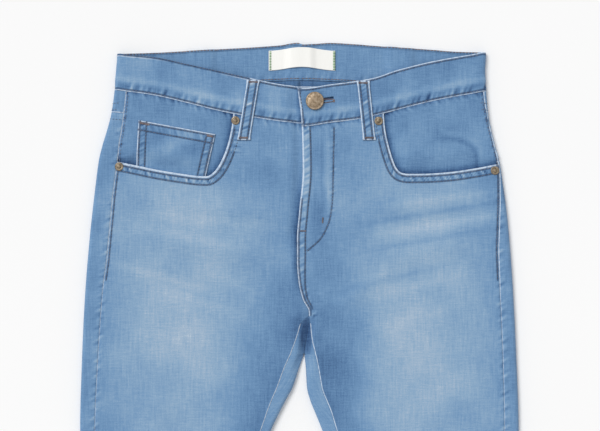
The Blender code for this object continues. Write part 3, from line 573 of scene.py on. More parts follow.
def mottle(x, down, seed, size, parts=16):
    """Smooth random field of about unit size: sine waves with lengths around one size, in all directions."""
    rng = np.random.default_rng(seed)
    total = 0.0
    for _ in range(parts):
        angle, length, phase = rng.uniform(0, math.pi), size * rng.uniform(0.6, 1.8), rng.random()
        along = x * math.cos(angle) + down * math.sin(angle)
        total = total + np.sin(2 * math.pi * (along / length + phase))
    return total / math.sqrt(parts / 2)


# ---------------------------------------------------------------- meshes

def shift_from_frame():
    """From the garment's own coordinates to the frame's: the button's axis is known in both."""
    low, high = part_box("button")
    x, y = (low[0] + high[0]) / 2, (low[1] + high[1]) / 2
    return np.array([x - BUTTON_X * MM, y + BUTTON_DOWN * MM, 0.0])


SHIFT = shift_from_frame()


def new_object(name, points, faces, material, uv=None, marks=None):
    """Mesh of four-sided faces from points in millimetres. A closed one that faces in is turned round."""
    points = points * MM + SHIFT
    centre = points.mean(axis=0)
    a, b, c, d = (points[faces[:, i]] - centre for i in range(4))
    volume = (np.cross(b - a, c - a) * a + np.cross(c - a, d - a) * a).sum()
    if volume < 0:
        faces = faces[:, ::-1]
    mesh = bpy.data.meshes.new(name)
    mesh.vertices.add(len(points))
    mesh.vertices.foreach_set("co", points.astype(np.float32).ravel())
    mesh.loops.add(faces.size)
    mesh.loops.foreach_set("vertex_index", faces.astype(np.int32).ravel())
    mesh.polygons.add(len(faces))
    mesh.polygons.foreach_set("loop_start", np.arange(0, faces.size, 4, dtype=np.int32))
    mesh.update(calc_edges=True)
    mesh.validate()
    mesh.shade_smooth()
    if uv is not None:
        layer = mesh.uv_layers.new(name="cloth")
        layer.uv.foreach_set("vector", uv[faces.ravel()].astype(np.float32).ravel())
    for key, values in (marks or {}).items():
        layer = mesh.attributes.new(key, "FLOAT", "POINT")
        layer.data.foreach_set("value", values.astype(np.float32))
    mesh.materials.append(material)
    obj = bpy.data.objects.new(name, mesh)
    bpy.context.scene.collection.objects.link(obj)
    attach(obj, "root")
    return obj


def shell(name, outer, inner, keep, material, uv, marks):
    """Closed cloth between two grids of points. keep marks the cells of the grid that are cloth.

    marks maps a name to one grid of values for the outer face and one for the inner face.
    """
    index = np.arange(outer.shape[0] * outer.shape[1]).reshape(outer.shape[:2])
    count = index.size
    cells = np.stack([index[:-1, :-1], index[:-1, 1:], index[1:, 1:], index[1:, :-1]], axis=-1)[keep]
    ends = np.concatenate([np.stack([cells[:, i], cells[:, (i + 1) % 4]], axis=1) for i in range(4)])
    key, twin = ends[:, 0] * count + ends[:, 1], ends[:, 1] * count + ends[:, 0]
    rim = ends[~np.isin(key, twin)]
    sides = np.stack([rim[:, 1], rim[:, 0], rim[:, 0] + count, rim[:, 1] + count], axis=1)
    faces = np.concatenate([cells, cells[:, ::-1] + count, sides])
    points = np.concatenate([outer.reshape(-1, 3), inner.reshape(-1, 3)])
    used, faces = np.unique(faces, return_inverse=True)
    faces = faces.reshape(-1, 4)
    flat = np.concatenate([uv.reshape(-1, 2)] * 2)[used]
    values = {k: np.concatenate([a.ravel(), b.ravel()])[used] for k, (a, b) in marks.items()}
    return new_object(name, points[used], faces, material, flat, values)


def all_cells(grid):
    """Every cell of a grid of points or values is cloth."""
    return np.ones((grid.shape[0] - 1, grid.shape[1] - 1), bool)


def grid_size(points, keep):
    """(width, length, area) of a grid of cloth in metres: its longest row and column, its cells' area."""
    a, b, c, d = points[:-1, :-1], points[:-1, 1:], points[1:, 1:], points[1:, :-1]
    area = (np.linalg.norm(np.cross(c - a, d - b), axis=-1) / 2)[keep].sum()
    wide = np.linalg.norm(np.diff(points, axis=1), axis=-1).sum(axis=1).max()
    long = np.linalg.norm(np.diff(points, axis=0), axis=-1).sum(axis=0).max()
    return wide * MM, long * MM, area * MM * MM


def cut_as(nodes, points, keep):
    """Hides the solids that a cloth piece stands for; the flat size of its cut is worked out but not kept.
    """
    wide, long, area = grid_size(points, keep)
    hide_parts(*nodes)
    min(area, wide * long)


def rounded(gap, depth, width):
    """How far a rounded edge falls back, by the distance from it."""
    return depth * (1 - np.sqrt(1 - np.clip(1 - gap / width, 0, 1) ** 2))


def cloth(name, nodes, side, s, down, out=0.0, thick=PANEL, keep=None, edges=(), ridges=(), rows=(),
          tucks=(), wash_and_shade=0.5, inside=0.42):
    """A denim piece from grids of runs and drops.

    Its outer face stands out from the surface by "out". It is rounded at "edges", raised along "ridges",
    pressed in along "rows" of stitching and puckered along "tucks". An edge or a ridge is (line, how wide it
    is worn). A tuck is (line, reach, height, period, seed): ripples along the line that fade away from it.
    The last two arguments are the levels of the outer and the inner face: fading, and on the outer face
    painted shade and highlight in places.
    """
    side, s, down = np.broadcast_arrays(np.asarray(side, float), s, down)
    u = spread(side, s, down)
    edge = nearest(u, down, [line for line, _ in edges])
    ridge = nearest(u, down, [line for line, _ in ridges])
    row = nearest(u, down, rows)
    worn = worn_distance(u, down, list(edges) + list(ridges))
    pucker = np.zeros(u.shape)
    for line, reach, height, period, seed in tucks:
        gap, at = beside(u, down, line)
        pucker += height * (1 - smooth(np.abs(gap) / reach)) * waves(at + 0.55 * gap, seed, period)
    groove = STITCH_GROOVE * mound(row, STITCH_GROOVE_WIDTH)
    lift = out + PUCKER * pucker + SEAM_RIDGE * mound(ridge, SEAM_RIDGE_WIDTH) - groove
    rim = rounded(edge, CLOTH_EDGE, CLOTH_EDGE_WIDTH)
    point, normal = surface(side, s, down), normals(side, s, down)
    outer = point + normal * np.broadcast_to(lift - rim, u.shape)[..., None]
    inner = point + normal * np.broadcast_to(lift - thick, u.shape)[..., None]
    keep = all_cells(u) if keep is None else keep
    marks = {
        "wash_and_shade": (np.broadcast_to(wash_and_shade, u.shape), np.broadcast_to(inside, u.shape)),
        "edge": (worn, worn),
        "row": (row, row),
        "tuck": (pucker, pucker * 0.3),
    }
    uv = np.stack([u, down], axis=-1) / CLOTH_UNIT
    obj = shell(name, outer, inner, keep, DENIM, uv, marks)
    cut_as(nodes, outer, keep)


# ---------------------------------------------------------------- finishes

def add(tree, kind, inputs=None, **settings):
    """New node. inputs maps a socket's name or number to a value or to another node's socket."""
    node = tree.nodes.new("ShaderNode" + kind)
    for key, value in settings.items():
        setattr(node, key, value)
    for key, value in (inputs or {}).items():
        if isinstance(value, bpy.types.NodeSocket):
            tree.links.new(value, node.inputs[key])
        else:
            node.inputs[key].default_value = value
    return node


def maths(tree, operation, *values):
    """Result of one calculation on values or sockets."""
    return add(tree, "Math", dict(enumerate(values)), operation=operation).outputs[0]


def linear(red, green, blue):
    """Colour for a shader from the 0 to 255 values of a swatch."""
    c = np.array([red, green, blue]) / 255
    return (*np.where(c <= 0.04045, c / 12.92, ((c + 0.055) / 1.055) ** 2.4), 1.0)


def new_material(name, roughness, metallic=0.0, **sockets):
    """(material, its node tree, its shader). sockets are other inputs of the shader, with _ for a space."""
    mat = bpy.data.materials.new(name)
    mat.use_nodes = True
    shader = mat.node_tree.nodes["Principled BSDF"]
    shader.inputs["Roughness"].default_value = roughness
    shader.inputs["Metallic"].default_value = metallic
    for key, value in sockets.items():
        shader.inputs[key.replace("_", " ")].default_value = value
    return mat, mat.node_tree, shader


def finish(tree, shader, colour, height, strength, distance=0.0002):
    """Joins a colour, and a height as fine relief, to the shader."""
    tree.links.new(colour, shader.inputs["Base Color"])
    bump = add(tree, "Bump", {"Height": height, "Strength": strength, "Distance": distance})
    tree.links.new(bump.outputs[0], shader.inputs["Normal"])


def attribute(tree, name):
    """A value that the mesh carries at its points."""
    return add(tree, "Attribute", attribute_name=name, attribute_type="GEOMETRY").outputs["Fac"]


def object_place(tree):
    return add(tree, "TexCoord").outputs["Object"]


def flat_place(tree):
    return add(tree, "UVMap", uv_map="cloth").outputs[0]


def span(tree, value, start, end, low=0.0, high=1.0):
    """Value mapped smoothly from start..end to low..high."""
    inputs = {"Value": value, "From Min": start, "From Max": end, "To Min": low, "To Max": high}
    return add(tree, "MapRange", inputs, interpolation_type="SMOOTHSTEP").outputs[0]


def ramp(tree, value, *stops):
    """Colour from a value, by stops of (value, colour)."""
    node = add(tree, "ValToRGB", {"Fac": value})
    points = node.color_ramp.elements
    while len(points) < len(stops):
        points.new(0.5)
    for point, (at, colour) in zip(points, stops):
        point.position = at
        point.color = colour
    return node.outputs["Color"]


def blend(tree, share, one, two):
    """Colour that goes from one to two."""
    return add(tree, "Mix", {0: share, 6: one, 7: two}, data_type="RGBA").outputs[2]


def noise(tree, where, scale, detail=2.0, rough=0.6, stretch=(1, 1, 1)):
    """Noise of about 0.5 on average, at "scale" cells to a unit."""
    moved = add(tree, "Mapping", {"Vector": where, "Scale": stretch}).outputs[0]
    inputs = {"Vector": moved, "Scale": scale, "Detail": detail, "Roughness": rough}
    return add(tree, "TexNoise", inputs).outputs[0]


# Colours of the denim by its level of fading, from unwashed to white
FADED = table(
    "level red green blue",
    (0.0, 38, 72, 116),
    (0.3, 88, 126, 168),
    (0.5, 112, 150, 189),
    (0.7, 141, 172, 201),
    (0.86, 166, 187, 208),
    (1.0, 208, 219, 229),
)
TWILL_ANGLE = 63


def washed_denim(name):
    """Faded indigo twill. Its slubs and wales follow the cloth's own flat coordinates.

    The level comes from the piece: its fading, with painted shade and highlight in places, the pale worn
    edges, the dark rows and the puckers.
    """
    mat, tree, shader = new_material(
        name, 0.86, Sheen_Weight=0.12, Sheen_Roughness=0.6, Specular_IOR_Level=0.2
    )
    flat, place = flat_place(tree), object_place(tree)
    wash_and_shade, edge, row, tuck = (attribute(tree, k) for k in ("wash_and_shade", "edge", "row", "tuck"))
    warp = noise(tree, flat, 62.0, 3.0, stretch=(1.0, 0.07, 1.0))
    weft = noise(tree, flat, 72.0, 3.0, stretch=(0.12, 1.0, 1.0))
    speckle = noise(tree, flat, 85.0)
    cloud = noise(tree, place, 30.0, 4.0)
    level = maths(tree, "ADD", wash_and_shade, maths(tree, "MULTIPLY", tuck, 0.16))
    for field, share in ((warp, 0.34), (weft, 0.30), (speckle, 0.30), (cloud, 0.26)):
        uneven = maths(tree, "MULTIPLY", maths(tree, "SUBTRACT", field, 0.5), share)
        level = maths(tree, "ADD", level, uneven)
    stops = [(at, linear(*swatch)) for at, *swatch in zip(*FADED.values())]
    colour = ramp(tree, level, *stops)
    frayed = span(tree, noise(tree, place, 420.0), 0.3, 0.6, 0.45, 1.0)
    worn = maths(tree, "MULTIPLY", span(tree, edge, 1.5, 0.7), frayed)
    colour = blend(tree, worn, colour, linear(204, 220, 238))
    pressed = maths(tree, "MULTIPLY", span(tree, row, 1.5, 0.4), 0.8)
    colour = blend(tree, pressed, colour, linear(52, 78, 114))
    turned = add(tree, "Mapping", {"Vector": flat, "Rotation": (0, 0, math.radians(TWILL_ANGLE))}).outputs[0]
    inputs = {"Vector": turned, "Scale": 34.0, "Distortion": 1.2, "Detail": 2.0, "Detail Scale": 3.0}
    wales = add(tree, "TexWave", inputs).outputs["Fac"]
    finish(tree, shader, colour, maths(tree, "ADD", wales, warp), 0.35, 0.0003)
    return mat


def sewing_thread(name, colour, second):
    """Twisted thread, faded unevenly along the seam."""
    mat, tree, shader = new_material(name, 0.7, Sheen_Weight=0.1)
    place = object_place(tree)
    fade = span(tree, noise(tree, place, 160.0), 0.35, 0.65)
    twist = noise(tree, place, 3500.0, 1.0, 0.5)
    finish(tree, shader, blend(tree, fade, colour, second), twist, 0.4)
    return mat


def woven_label_cloth(name):
    """Close white weave."""
    mat, tree, shader = new_material(name, 0.62, Sheen_Weight=0.15)
    threads = noise(tree, flat_place(tree), 120.0, rough=0.5, stretch=(1.0, 0.08, 1.0))
    colour = blend(tree, threads, linear(244, 243, 238), linear(252, 252, 249))
    finish(tree, shader, colour, threads, 0.2)
    return mat


def aged_bronze(name, dark, middle, rubbed):
    """Antiqued metal: a dark patina that is rubbed off where the noise is high."""
    mat, tree, shader = new_material(name, 0.42, 0.6)
    patina = noise(tree, object_place(tree), 420.0, 5.0, 0.65)
    colour = ramp(tree, patina, (0.3, linear(*dark)), (0.52, linear(*middle)), (0.75, linear(*rubbed)))
    tree.links.new(span(tree, patina, 0.3, 0.75, 0.52, 0.34), shader.inputs["Roughness"])
    finish(tree, shader, colour, patina, 0.25)
    return mat


DENIM = washed_denim("washed_denim")
TOPSTITCH = sewing_thread("faded_topstitch_thread", linear(74, 80, 98), linear(122, 132, 152))
BROWN_THREAD = sewing_thread("brown_bar_tack_thread", linear(108, 96, 98), linear(142, 128, 128))
GREEN_THREAD = sewing_thread("green_label_thread", linear(62, 132, 58), linear(100, 160, 92))
LABEL_CLOTH = woven_label_cloth("white_label_cloth")
BUTTON_BRONZE = aged_bronze("antique_bronze", (108, 90, 70), (164, 144, 120), (206, 190, 168))
RIVET_BRONZE = aged_bronze("dull_rivet_bronze", (92, 80, 64), (142, 128, 108), (188, 176, 154))


# ---------------------------------------------------------------- wash

# Soft pale or dark areas of the front: middle, half sizes across and down, and strength. Most are fading;
# the narrow dark ones beside the fly edge (x -6) and beside the crotch (x -3, down 266) are painted shadow.
FADES_AND_PAINTED_SHADOWS = table(
    "x down wide high strength",
    (-112.0, 262.0, 62.0, 120.0, 0.25),
    (-112.0, 160.0, 60.0, 30.0, 0.10),
    (112.0, 290.0, 60.0, 130.0, 0.25),
    (130.0, 165.0, 50.0, 40.0, 0.08),
    (-40.0, 120.0, 40.0, 60.0, -0.04),
    (-6.0, 130.0, 6.0, 46.0, -0.14),
    (19.0, 168.0, 9.0, 24.0, -0.14),
    (14.0, 120.0, 5.0, 70.0, -0.10),
    (20.6, 128.0, 2.0, 40.0, -0.12),
    (26.4, 126.0, 1.8, 36.0, 0.14),
    (-4.0, 290.0, 34.0, 60.0, -0.16),
    (-3.0, 266.0, 6.0, 14.0, -0.14),
    (30.0, 330.0, 34.0, 90.0, -0.18),
    (-34.0, 380.0, 34.0, 90.0, -0.20),
    (30.0, 460.0, 30.0, 120.0, -0.12),
)
# Whiskers: thin pale creases worn into the front of the hips
WHISKERS = table(
    "x down lean length width height",
    (-88.0, 171.0, -6.0, 190.0, 5.0, 0.10),
    (-104.0, 188.0, -12.0, 130.0, 4.0, 0.12),
    (-132.0, 226.0, -16.0, 130.0, 3.5, 0.12),
    (-128.0, 236.0, -16.0, 130.0, 4.0, -0.06),
    (-108.0, 244.0, -20.0, 130.0, 5.0, 0.11),
    (-122.0, 282.0, -12.0, 110.0, 8.0, 0.03),
    (-60.0, 232.0, -26.0, 90.0, 5.0, 0.06),
    (138.0, 150.0, 8.0, 150.0, 4.0, 0.14),
    (132.0, 163.0, 9.0, 190.0, 3.0, -0.20),
    (134.0, 175.0, 9.0, 180.0, 4.0, 0.16),
    (122.0, 190.0, 10.0, 160.0, 3.0, -0.14),
    (92.0, 226.0, 14.0, 150.0, 3.5, -0.14),
    (104.0, 236.0, 14.0, 130.0, 5.0, 0.12),
    (120.0, 262.0, 16.0, 120.0, 6.0, 0.06),
)


LEG_WASH = 0.52
PALEST = 0.76               # above this level the fading counts half


def front_wash_and_shade(side, u, down):
    """Level of fading of the front, with painted shade: pale thighs and whiskers, darker sides and inner
    thighs, and painted shadow beside the fly edge and the crotch.
    """
    level = np.full(u.shape, LEG_WASH)
    for x, d, wide, high, strength in zip(*FADES_AND_PAINTED_SHADOWS.values()):
        level += strength * mound(u - x, wide) * mound(down - d, high)
    level += 0.8 * fold_relief(u, down, WHISKERS)
    if side < 0:
        # Painted shadow on the right front beside the fly edge that lies over it
        beside_fly = np.maximum(read(CENTRE_FRONT, "x", down) - u, 0)
        low = smooth((down - 95.0) / 80.0) * (1 - smooth((down - 212.0) / 40.0))
        level -= 0.40 * low * mound(beside_fly, 4.5)
    edge = two_sided(OUTLINE, side, down) - np.abs(u)
    level += 0.025 * mottle(u, down, 5, 60.0) - 0.10 * mound(edge, 22.0)
    return level - 0.5 * np.maximum(level - PALEST, 0)


def back_wash(u, down):
    """Level of fading of the back: a pale seat and calf, darker towards the sides."""
    seat = mound(np.abs(u) - 86.0, 62.0) * mound(down - 190.0, 110.0)
    calf = mound(np.abs(u) - 120.0, 45.0) * mound(down - 700.0, 220.0)
    return 0.47 + 0.16 * seat + 0.10 * calf + 0.025 * mottle(u, down, 9, 60.0)


# ---------------------------------------------------------------- lines on the garment

def waist_front_line():
    """The seam below the front waistband."""
    x = np.arange(-180.0, 180.1, LINE_STEP)
    return line_of(x, band_edge("front", "low", x))


def fly_line(start=76.0, end=CROTCH):
    """The fly edge, and the centre seam below it."""
    down = np.arange(start, end + 0.1, LINE_STEP)
    return line_of(read(CENTRE_FRONT, "x", down), down)


def fly_breadth(down):
    """Second row beside the fly and the centre seam, which draws nearer to the seam above the crotch."""
    return 8.0 - 4.0 * smooth((down - 205.0) / 55.0)


def fly_row(start=76.0, end=258.0):
    line = fly_line(start, end)
    return across_line(line, fly_breadth(line[1]))


def outseam_line(side, start, end=LENGTH):
    down = np.arange(start, end + 0.1, LINE_STEP)
    s = run_of_x(side, outseam_x(side, down), down)
    return line_of(spread(side, s, down), down)


def inseam_line(side, start):
    down = np.arange(start, LENGTH + 0.1, LINE_STEP)
    return line_of(inseam_x(side, down), down)


def mouth_points(side):
    """The edge of a front pocket's mouth."""
    x, down = mouth_line(side, np.linspace(0, 1, 130))
    return line_of(x, down)


def mouth_row(side, inset):
    """A row of stitching along a pocket mouth, on the leg's side of it."""
    return across_line(mouth_points(side), side * inset)


# Stitching that holds the zip's shield to the left front: down from the waist, then round to the fly edge
FLY_CURVE = table(
    "t x down",
    (0.0, 32.3, 82.0),
    (0.3, 31.5, 118.0),
    (0.5, 31.2, 140.0),
    (0.7, 29.0, 166.0),
    (0.84, 20.6, 187.0),
    (1.0, 7.2, 200.0),
)


def curve(tab, count):
    """A table's line (x, down) as a smooth curve."""
    t = np.linspace(0, 1, count)
    return line_of(read(tab, "x", t), read(tab, "down", t))


def fly_curve():
    return curve(FLY_CURVE, 110)


def yoke_line(side):
    x = side * np.arange(0.5, 190.0, LINE_STEP)
    return line_of(x, yoke_seam(x))


# ---------------------------------------------------------------- legs

# Columns of a front panel that start on the pocket mouth: share of the mouth, and of the breadth below it
MOUTH_COLUMNS = table(
    "mouth breadth",
    (0.00, 0.00), (0.12, 0.12), (0.24, 0.24), (0.36, 0.36), (0.48, 0.47), (0.56, 0.53), (0.60, 0.56),
    (0.635, 0.58), (0.67, 0.60), (0.72, 0.625), (0.80, 0.66), (0.90, 0.70), (1.00, 0.74),
)
WAIST_DROP = 80.0           # where the columns that start on the waist seam are spaced
LEVEL_FROM = 152.0          # first level row of a front panel
BEFORE_EDGE = 19.0          # the last columns keep their distance from the inner edge
EDGE_STEPS = np.array([0, 0.5, 1.0, 1.6, 2.3, 3.2, 4.2, 5.4, 6.6, 7.8, 9.0, 10.2, 11.6])
LEG_LEVELS = np.concatenate([
    between([LEVEL_FROM, CROTCH - 0.4, CROTCH + 0.4, SPLIT - 0.4, SPLIT + 0.4, 440.0], 2.0),
    between([444.0, LENGTH - HEM_HEIGHT - 0.6], 5.0),
    between([LENGTH - HEM_HEIGHT, LENGTH], 2.0),
])


def hem_thickness(down):
    """Thickness of a leg panel, which is turned up at the hem."""
    return PANEL + (HEM - PANEL) * (down >= LENGTH - HEM_HEIGHT - 0.1)


def front_middle_x(side, down):
    """The front panel's inner edge: fly or centre seam, then inseam. The right one goes on under the fly."""
    centre = read(CENTRE_FRONT, "x", down)
    if side < 0:
        centre = centre + UNDERLAP * (1 - smooth((down - FLY_END + 4.0) / 8.0))
    return np.where(down < CROTCH, centre, inseam_x(side, down))


def fly_sink(side, x, down):
    """The right front drops under the fly edge by the thickness of the left front."""
    if side > 0:
        return 0.0
    over = read(CENTRE_FRONT, "x", down) - x
    near = 1 - smooth((over - 3.0) / 8.0)
    above = 1 - smooth((down - FLY_END - 5.0) / 8.0)
    return (PANEL + LAYER_GAP) * near * above


def front_grid(side):
    """(runs, drops) of a front panel.

    Columns run down the leg, the first ones from points along the pocket mouth. Rows keep their distance
    from the top edge, then blend into level ones.
    """
    shares = between(list(MOUTH_COLUMNS["breadth"]) + [1.0], 0.0105)
    before = between([BEFORE_EDGE, 9.0, 2.4, 0.0], 1.2)[1:]
    at_mouth = shares <= MOUTH_COLUMNS["breadth"][-1] + 1e-9

    def columns(down):
        low = run_of_x(side, outseam_x(side, down), down)[:, None]
        high = run_of_x(side, front_middle_x(side, down), down)[:, None]
        return np.concatenate([low + (high - BEFORE_EDGE - low) * shares, high - before], axis=1)

    level_s = columns(LEG_LEVELS)
    mx, md = mouth_line(side, np.interp(shares[at_mouth], MOUTH_COLUMNS["breadth"], MOUTH_COLUMNS["mouth"]))
    mx[0] = outseam_x(side, md[0])
    md[-1] = band_low(side, mx[-1])
    at_waist = columns(np.full(1, WAIST_DROP))[0, len(mx):]
    wx = surface(side, at_waist, np.full(at_waist.shape, WAIST_DROP))[..., 0]
    top_x = np.concatenate([mx, wx])
    top_d = np.concatenate([md, band_low(side, wx)])
    top_s = run_of_x(side, top_x, top_d)
    height = LEVEL_FROM - top_d
    near = EDGE_STEPS[:, None] * np.minimum(1.0, height / 24.0) / height
    rest = np.linspace(0, 1, 38)[1:-1, None]
    share = np.concatenate([near, near[-1] + (1 - near[-1]) * rest])
    s = np.concatenate([top_s + (level_s[0] - top_s) * share, level_s])
    level_d = np.repeat(LEG_LEVELS[:, None], level_s.shape[1], axis=1)
    down = np.concatenate([top_d + (LEVEL_FROM - top_d) * share, level_d])
    s[:, 0] = run_of_x(side, outseam_x(side, down[:, 0]), down[:, 0])
    for c in range(level_s.shape[1] - len(before) - 1, level_s.shape[1]):
        s[:, c] = columns(down[:, c])[:, c]
    return s, down


def make_front(word, side):
    """Front leg panel: turned and worn at the pocket mouth and, on the left, at the fly edge."""
    s, down = front_grid(side)
    x = surface(side, s, down)[..., 0]
    u = spread(side, s, down)
    mouth, waist, outseam = mouth_points(side), waist_front_line(), outseam_line(side, 110.0)
    edges = [(mouth, mouth_wear), (outseam, 0.2)]
    ridges = [(inseam_line(side, 271.0), 0.7)]
    rows = [mouth_row(side, MOUTH_ROW[side]), mouth_row(side, MOUTH_HEM[side])]
    rows += [outseam_row(side), hem_line()]
    tucks = [
        (mouth_row(side, 5.0), 5.0, 1.5, 4.6, 31 + side),
        (waist, 9.0, 0.7, 6.5, 33 + side),
        (outseam, 6.0, 0.7, 7.0, 45 + side),
        (hem_line(), 9.0, 0.8, 8.0, 47),
    ]
    turned = smooth((MOUTH_HEM[side] + 1.2 - np.abs(beside(u, down, mouth)[0])) / 1.4)
    double = 0.35 * turned
    # Painted shadow just below the waistband's edge
    wash_and_shade = front_wash_and_shade(side, u, down) - seam_shade(u, down, waist) - 0.10 * turned
    if side > 0:
        edges.append((fly_line(), 1.25))
        rows += [across_line(fly_line(150.0), FLY_INSET), fly_row(), fly_curve()]
        tucks += [(across_line(fly_line(), 4.5), 5.5, 0.9, 5.6, 41), (fly_curve(), 5.0, 0.6, 5.0, 43)]
        fly = smooth((fly_breadth(down) + 1.0 - np.abs(beside(u, down, fly_line())[0])) / 1.2)
        double = np.maximum(double, 0.3 * fly)
        wash_and_shade = wash_and_shade + 0.10 * fly * (1 - 0.8 * smooth((down - 165.0) / 20.0))
    cloth(
        f"denim_front_{word}", [f"front_{word}"], side, s, down, out=double - fly_sink(side, x, down),
        thick=hem_thickness(down) + double, edges=edges, ridges=ridges, rows=rows, tucks=tucks, wash_and_shade=wash_and_shade,
    )


def seam_shade(u, down, line):
    """Painted shadow just beside a seam: how much darker the cloth is there."""
    return 0.24 * mound(beside(u, down, line)[0], 2.0)


def mouth_wear(down):
    """A pocket mouth is worn widest where it turns."""
    return 1.3 + 0.8 * mound(down - 114.0, 16.0)


def outseam_row(side):
    """The row that holds the seam allowance down the upper outseam, on the front's side of it."""
    return across_line(outseam_line(side, 50.0, 229.0), -side * ROW_INSET)


def side_wear(down):
    """The outseam is worn wide where it is topstitched, and thin below."""
    return 0.62 - 0.34 * smooth((down - 222.0) / 26.0)


def hem_line():
    """The row of stitching that holds the turned hem."""
    return line_of(np.arange(-215.0, 216.0, 3.0), LENGTH - HEM_HEIGHT + 1.0)


# Columns of the back sheet, from the centre back, at the edges of what lies under it
YOKE_COLUMNS = (7.8, 15.8, 48.0, 80.0, 88.0, 104.0, 112.0, 140.0)
BACK_COLUMNS = (13.0, 21.0, 45.0, 75.0, 105.0, 130.0, 151.0, 160.0)
# Counts of columns: over the front, round the side fold, round the inner fold, and over the front beside it
OVER_COLUMNS, FOLD_COLUMNS, INNER_COLUMNS, WEB_COLUMNS = 9, 17, 9, 10
BACK_TOP_DEPTH = 61.0       # where the back panel's rows become level, below the yoke seam
# The shaded hollow between the thighs
HOLLOW_X, HOLLOW_DOWN, HOLLOW_WIDE, HOLLOW_HIGH = 5.4, 280.0, 8.0, 23.0


def own(down, start, count):
    """The drops of some columns of a grid, or the one column of drops that all columns share."""
    return down if down.shape[1] == 1 else down[:, start:start + count]


def round_the_side(side, down, under, x_of):
    """Runs from the outseam, round the side fold and over the back to the columns of x_of(drops)."""
    def seam_and_fold(d):
        seam, run = run_of_x(side, outseam_x(side, d), d), fold_sizes(d)[1]
        return seam, np.minimum(seam, run), run

    seam, first, _ = seam_and_fold(own(down, 0, OVER_COLUMNS))
    over = seam + (first - seam) * np.linspace(0, 1, OVER_COLUMNS + 1)[:-1]
    _, first, run = seam_and_fold(own(down, OVER_COLUMNS, FOLD_COLUMNS))
    turn = first - (run + first) * np.linspace(0, 1, FOLD_COLUMNS)
    d = own(down, OVER_COLUMNS + FOLD_COLUMNS, under)
    return np.concatenate([over, turn, -run_of_x(side, side * x_of(d), d)], axis=1)


def back_columns(side, down):
    """Runs of the back panel's columns: outseam, side fold, back sheet, then the inner fold to the inseam.

    Where the legs aren't parted the last ones are those of the piece that lies in the hollow over the front.
    """
    fine = between(list(BACK_COLUMNS), 4.0)[::-1]
    keys = np.concatenate([fine, np.repeat(fine[-1], 3)])
    share = np.minimum(np.arange(1, len(keys) + 1), len(fine)) / (len(fine) + 1)
    past = np.concatenate([np.zeros(len(fine)), [0.35, 0.7, 1.0]])

    def end_of(d):
        parted = d >= SPLIT
        end = np.where(parted, side * middle_x(side, d), side * read(CENTRE_BACK, "x", d))
        return np.where(parted, end + fold_sizes(d)[2], end)

    def x_of(d):
        outer = two_sided(OUTLINE, side, d) - 7.0
        end = end_of(d)
        x = keys + (outer + (end - outer) * share - keys) * smooth((d - 255.0) / 130.0)
        return x + (end - x) * past

    s = round_the_side(side, down, len(keys), x_of)
    start = s.shape[1]
    d = own(down, start, INNER_COLUMNS)
    bottom = -run_of_x(side, side * end_of(d), d)
    inner = bottom - 2 * fold_sizes(d)[3] * np.linspace(0, 1, INNER_COLUMNS + 2)[1:-1]
    d = own(down, start + INNER_COLUMNS, WEB_COLUMNS)
    inseam = run_of_x(side, inseam_x(side, d), d)
    parted = d >= SPLIT
    bottom = -run_of_x(side, side * end_of(d), d)
    centre = run_of_x(side, read(CENTRE_FRONT, "x", d), d)
    first = np.where(parted, bottom - 2 * fold_sizes(d)[3], centre)
    last = np.where(parted, inseam - 2 * whole_run(side, d), inseam)
    return np.concatenate([s, inner, first + (last - first) * np.linspace(0, 1, WEB_COLUMNS)], axis=1)


def hung_rows(side, columns_at, lines, shares, levels):
    """(runs, drops) of a grid: rows between two lines down(x), by share, then level rows."""
    start = 60.0            # a first drop, which each round below corrects
    count = columns_at(np.full((1, 1), start)).shape[1]
    shares = np.array(shares)[:, None]
    top = np.full((len(shares), count), start)
    for _ in range(6):
        s = columns_at(top)
        x = surface(side, s, top)[..., 0]
        top = lines[0](x, s >= 0) * (1 - shares) + lines[1](x, s >= 0) * shares
    down = np.concatenate([top, np.repeat(np.asarray(levels, float)[:, None], count, axis=1)])
    return columns_at(down), down


def make_back(word, side):
    """Back leg panel, which rolls round both edges of the leg. Its grid has no cells between the legs."""
    lines = (lambda x, front: yoke_seam(x), lambda x, front: yoke_seam(x) + BACK_TOP_DEPTH)
    shares = between([0, 2.0, BACK_TOP_DEPTH], 3.0) / BACK_TOP_DEPTH
    s, down = hung_rows(side, lambda d: back_columns(side, d), lines, shares, LEG_LEVELS)
    sheet_end = s.shape[1] - INNER_COLUMNS - WEB_COLUMNS
    keep = all_cells(s)
    keep[: int(np.argmax(down[:, 0] >= SPLIT)), sheet_end - 1:sheet_end + INNER_COLUMNS] = False
    keep[: int(np.argmax(down[:, 0] > CROTCH)), sheet_end - 1:] = False
    u = spread(side, s, down)
    wash_and_shade = np.where(s > 0, front_wash_and_shade(side, u, down) + 0.02, back_wash(u, down))
    web = slice(sheet_end, None)
    from_hollow = ((u - HOLLOW_X) / HOLLOW_WIDE) ** 2 + ((down - HOLLOW_DOWN) / HOLLOW_HIGH) ** 2
    # Painted shade on the web between the thighs, deepest in the hollow
    wash_and_shade[:, web] = LEG_WASH - 0.46 * mound(from_hollow[:, web], 1.0)
    cloth(
        f"denim_back_{word}", [f"back_{word}"], side, s, down, thick=hem_thickness(down), keep=keep,
        edges=[(outseam_line(side, 66.0), side_wear)], rows=[outseam_row(side), hem_line()],
        tucks=[(outseam_line(side, 66.0, 420.0), 8.0, 0.8, 7.0, 51 + side)], wash_and_shade=wash_and_shade, inside=0.30,
    )


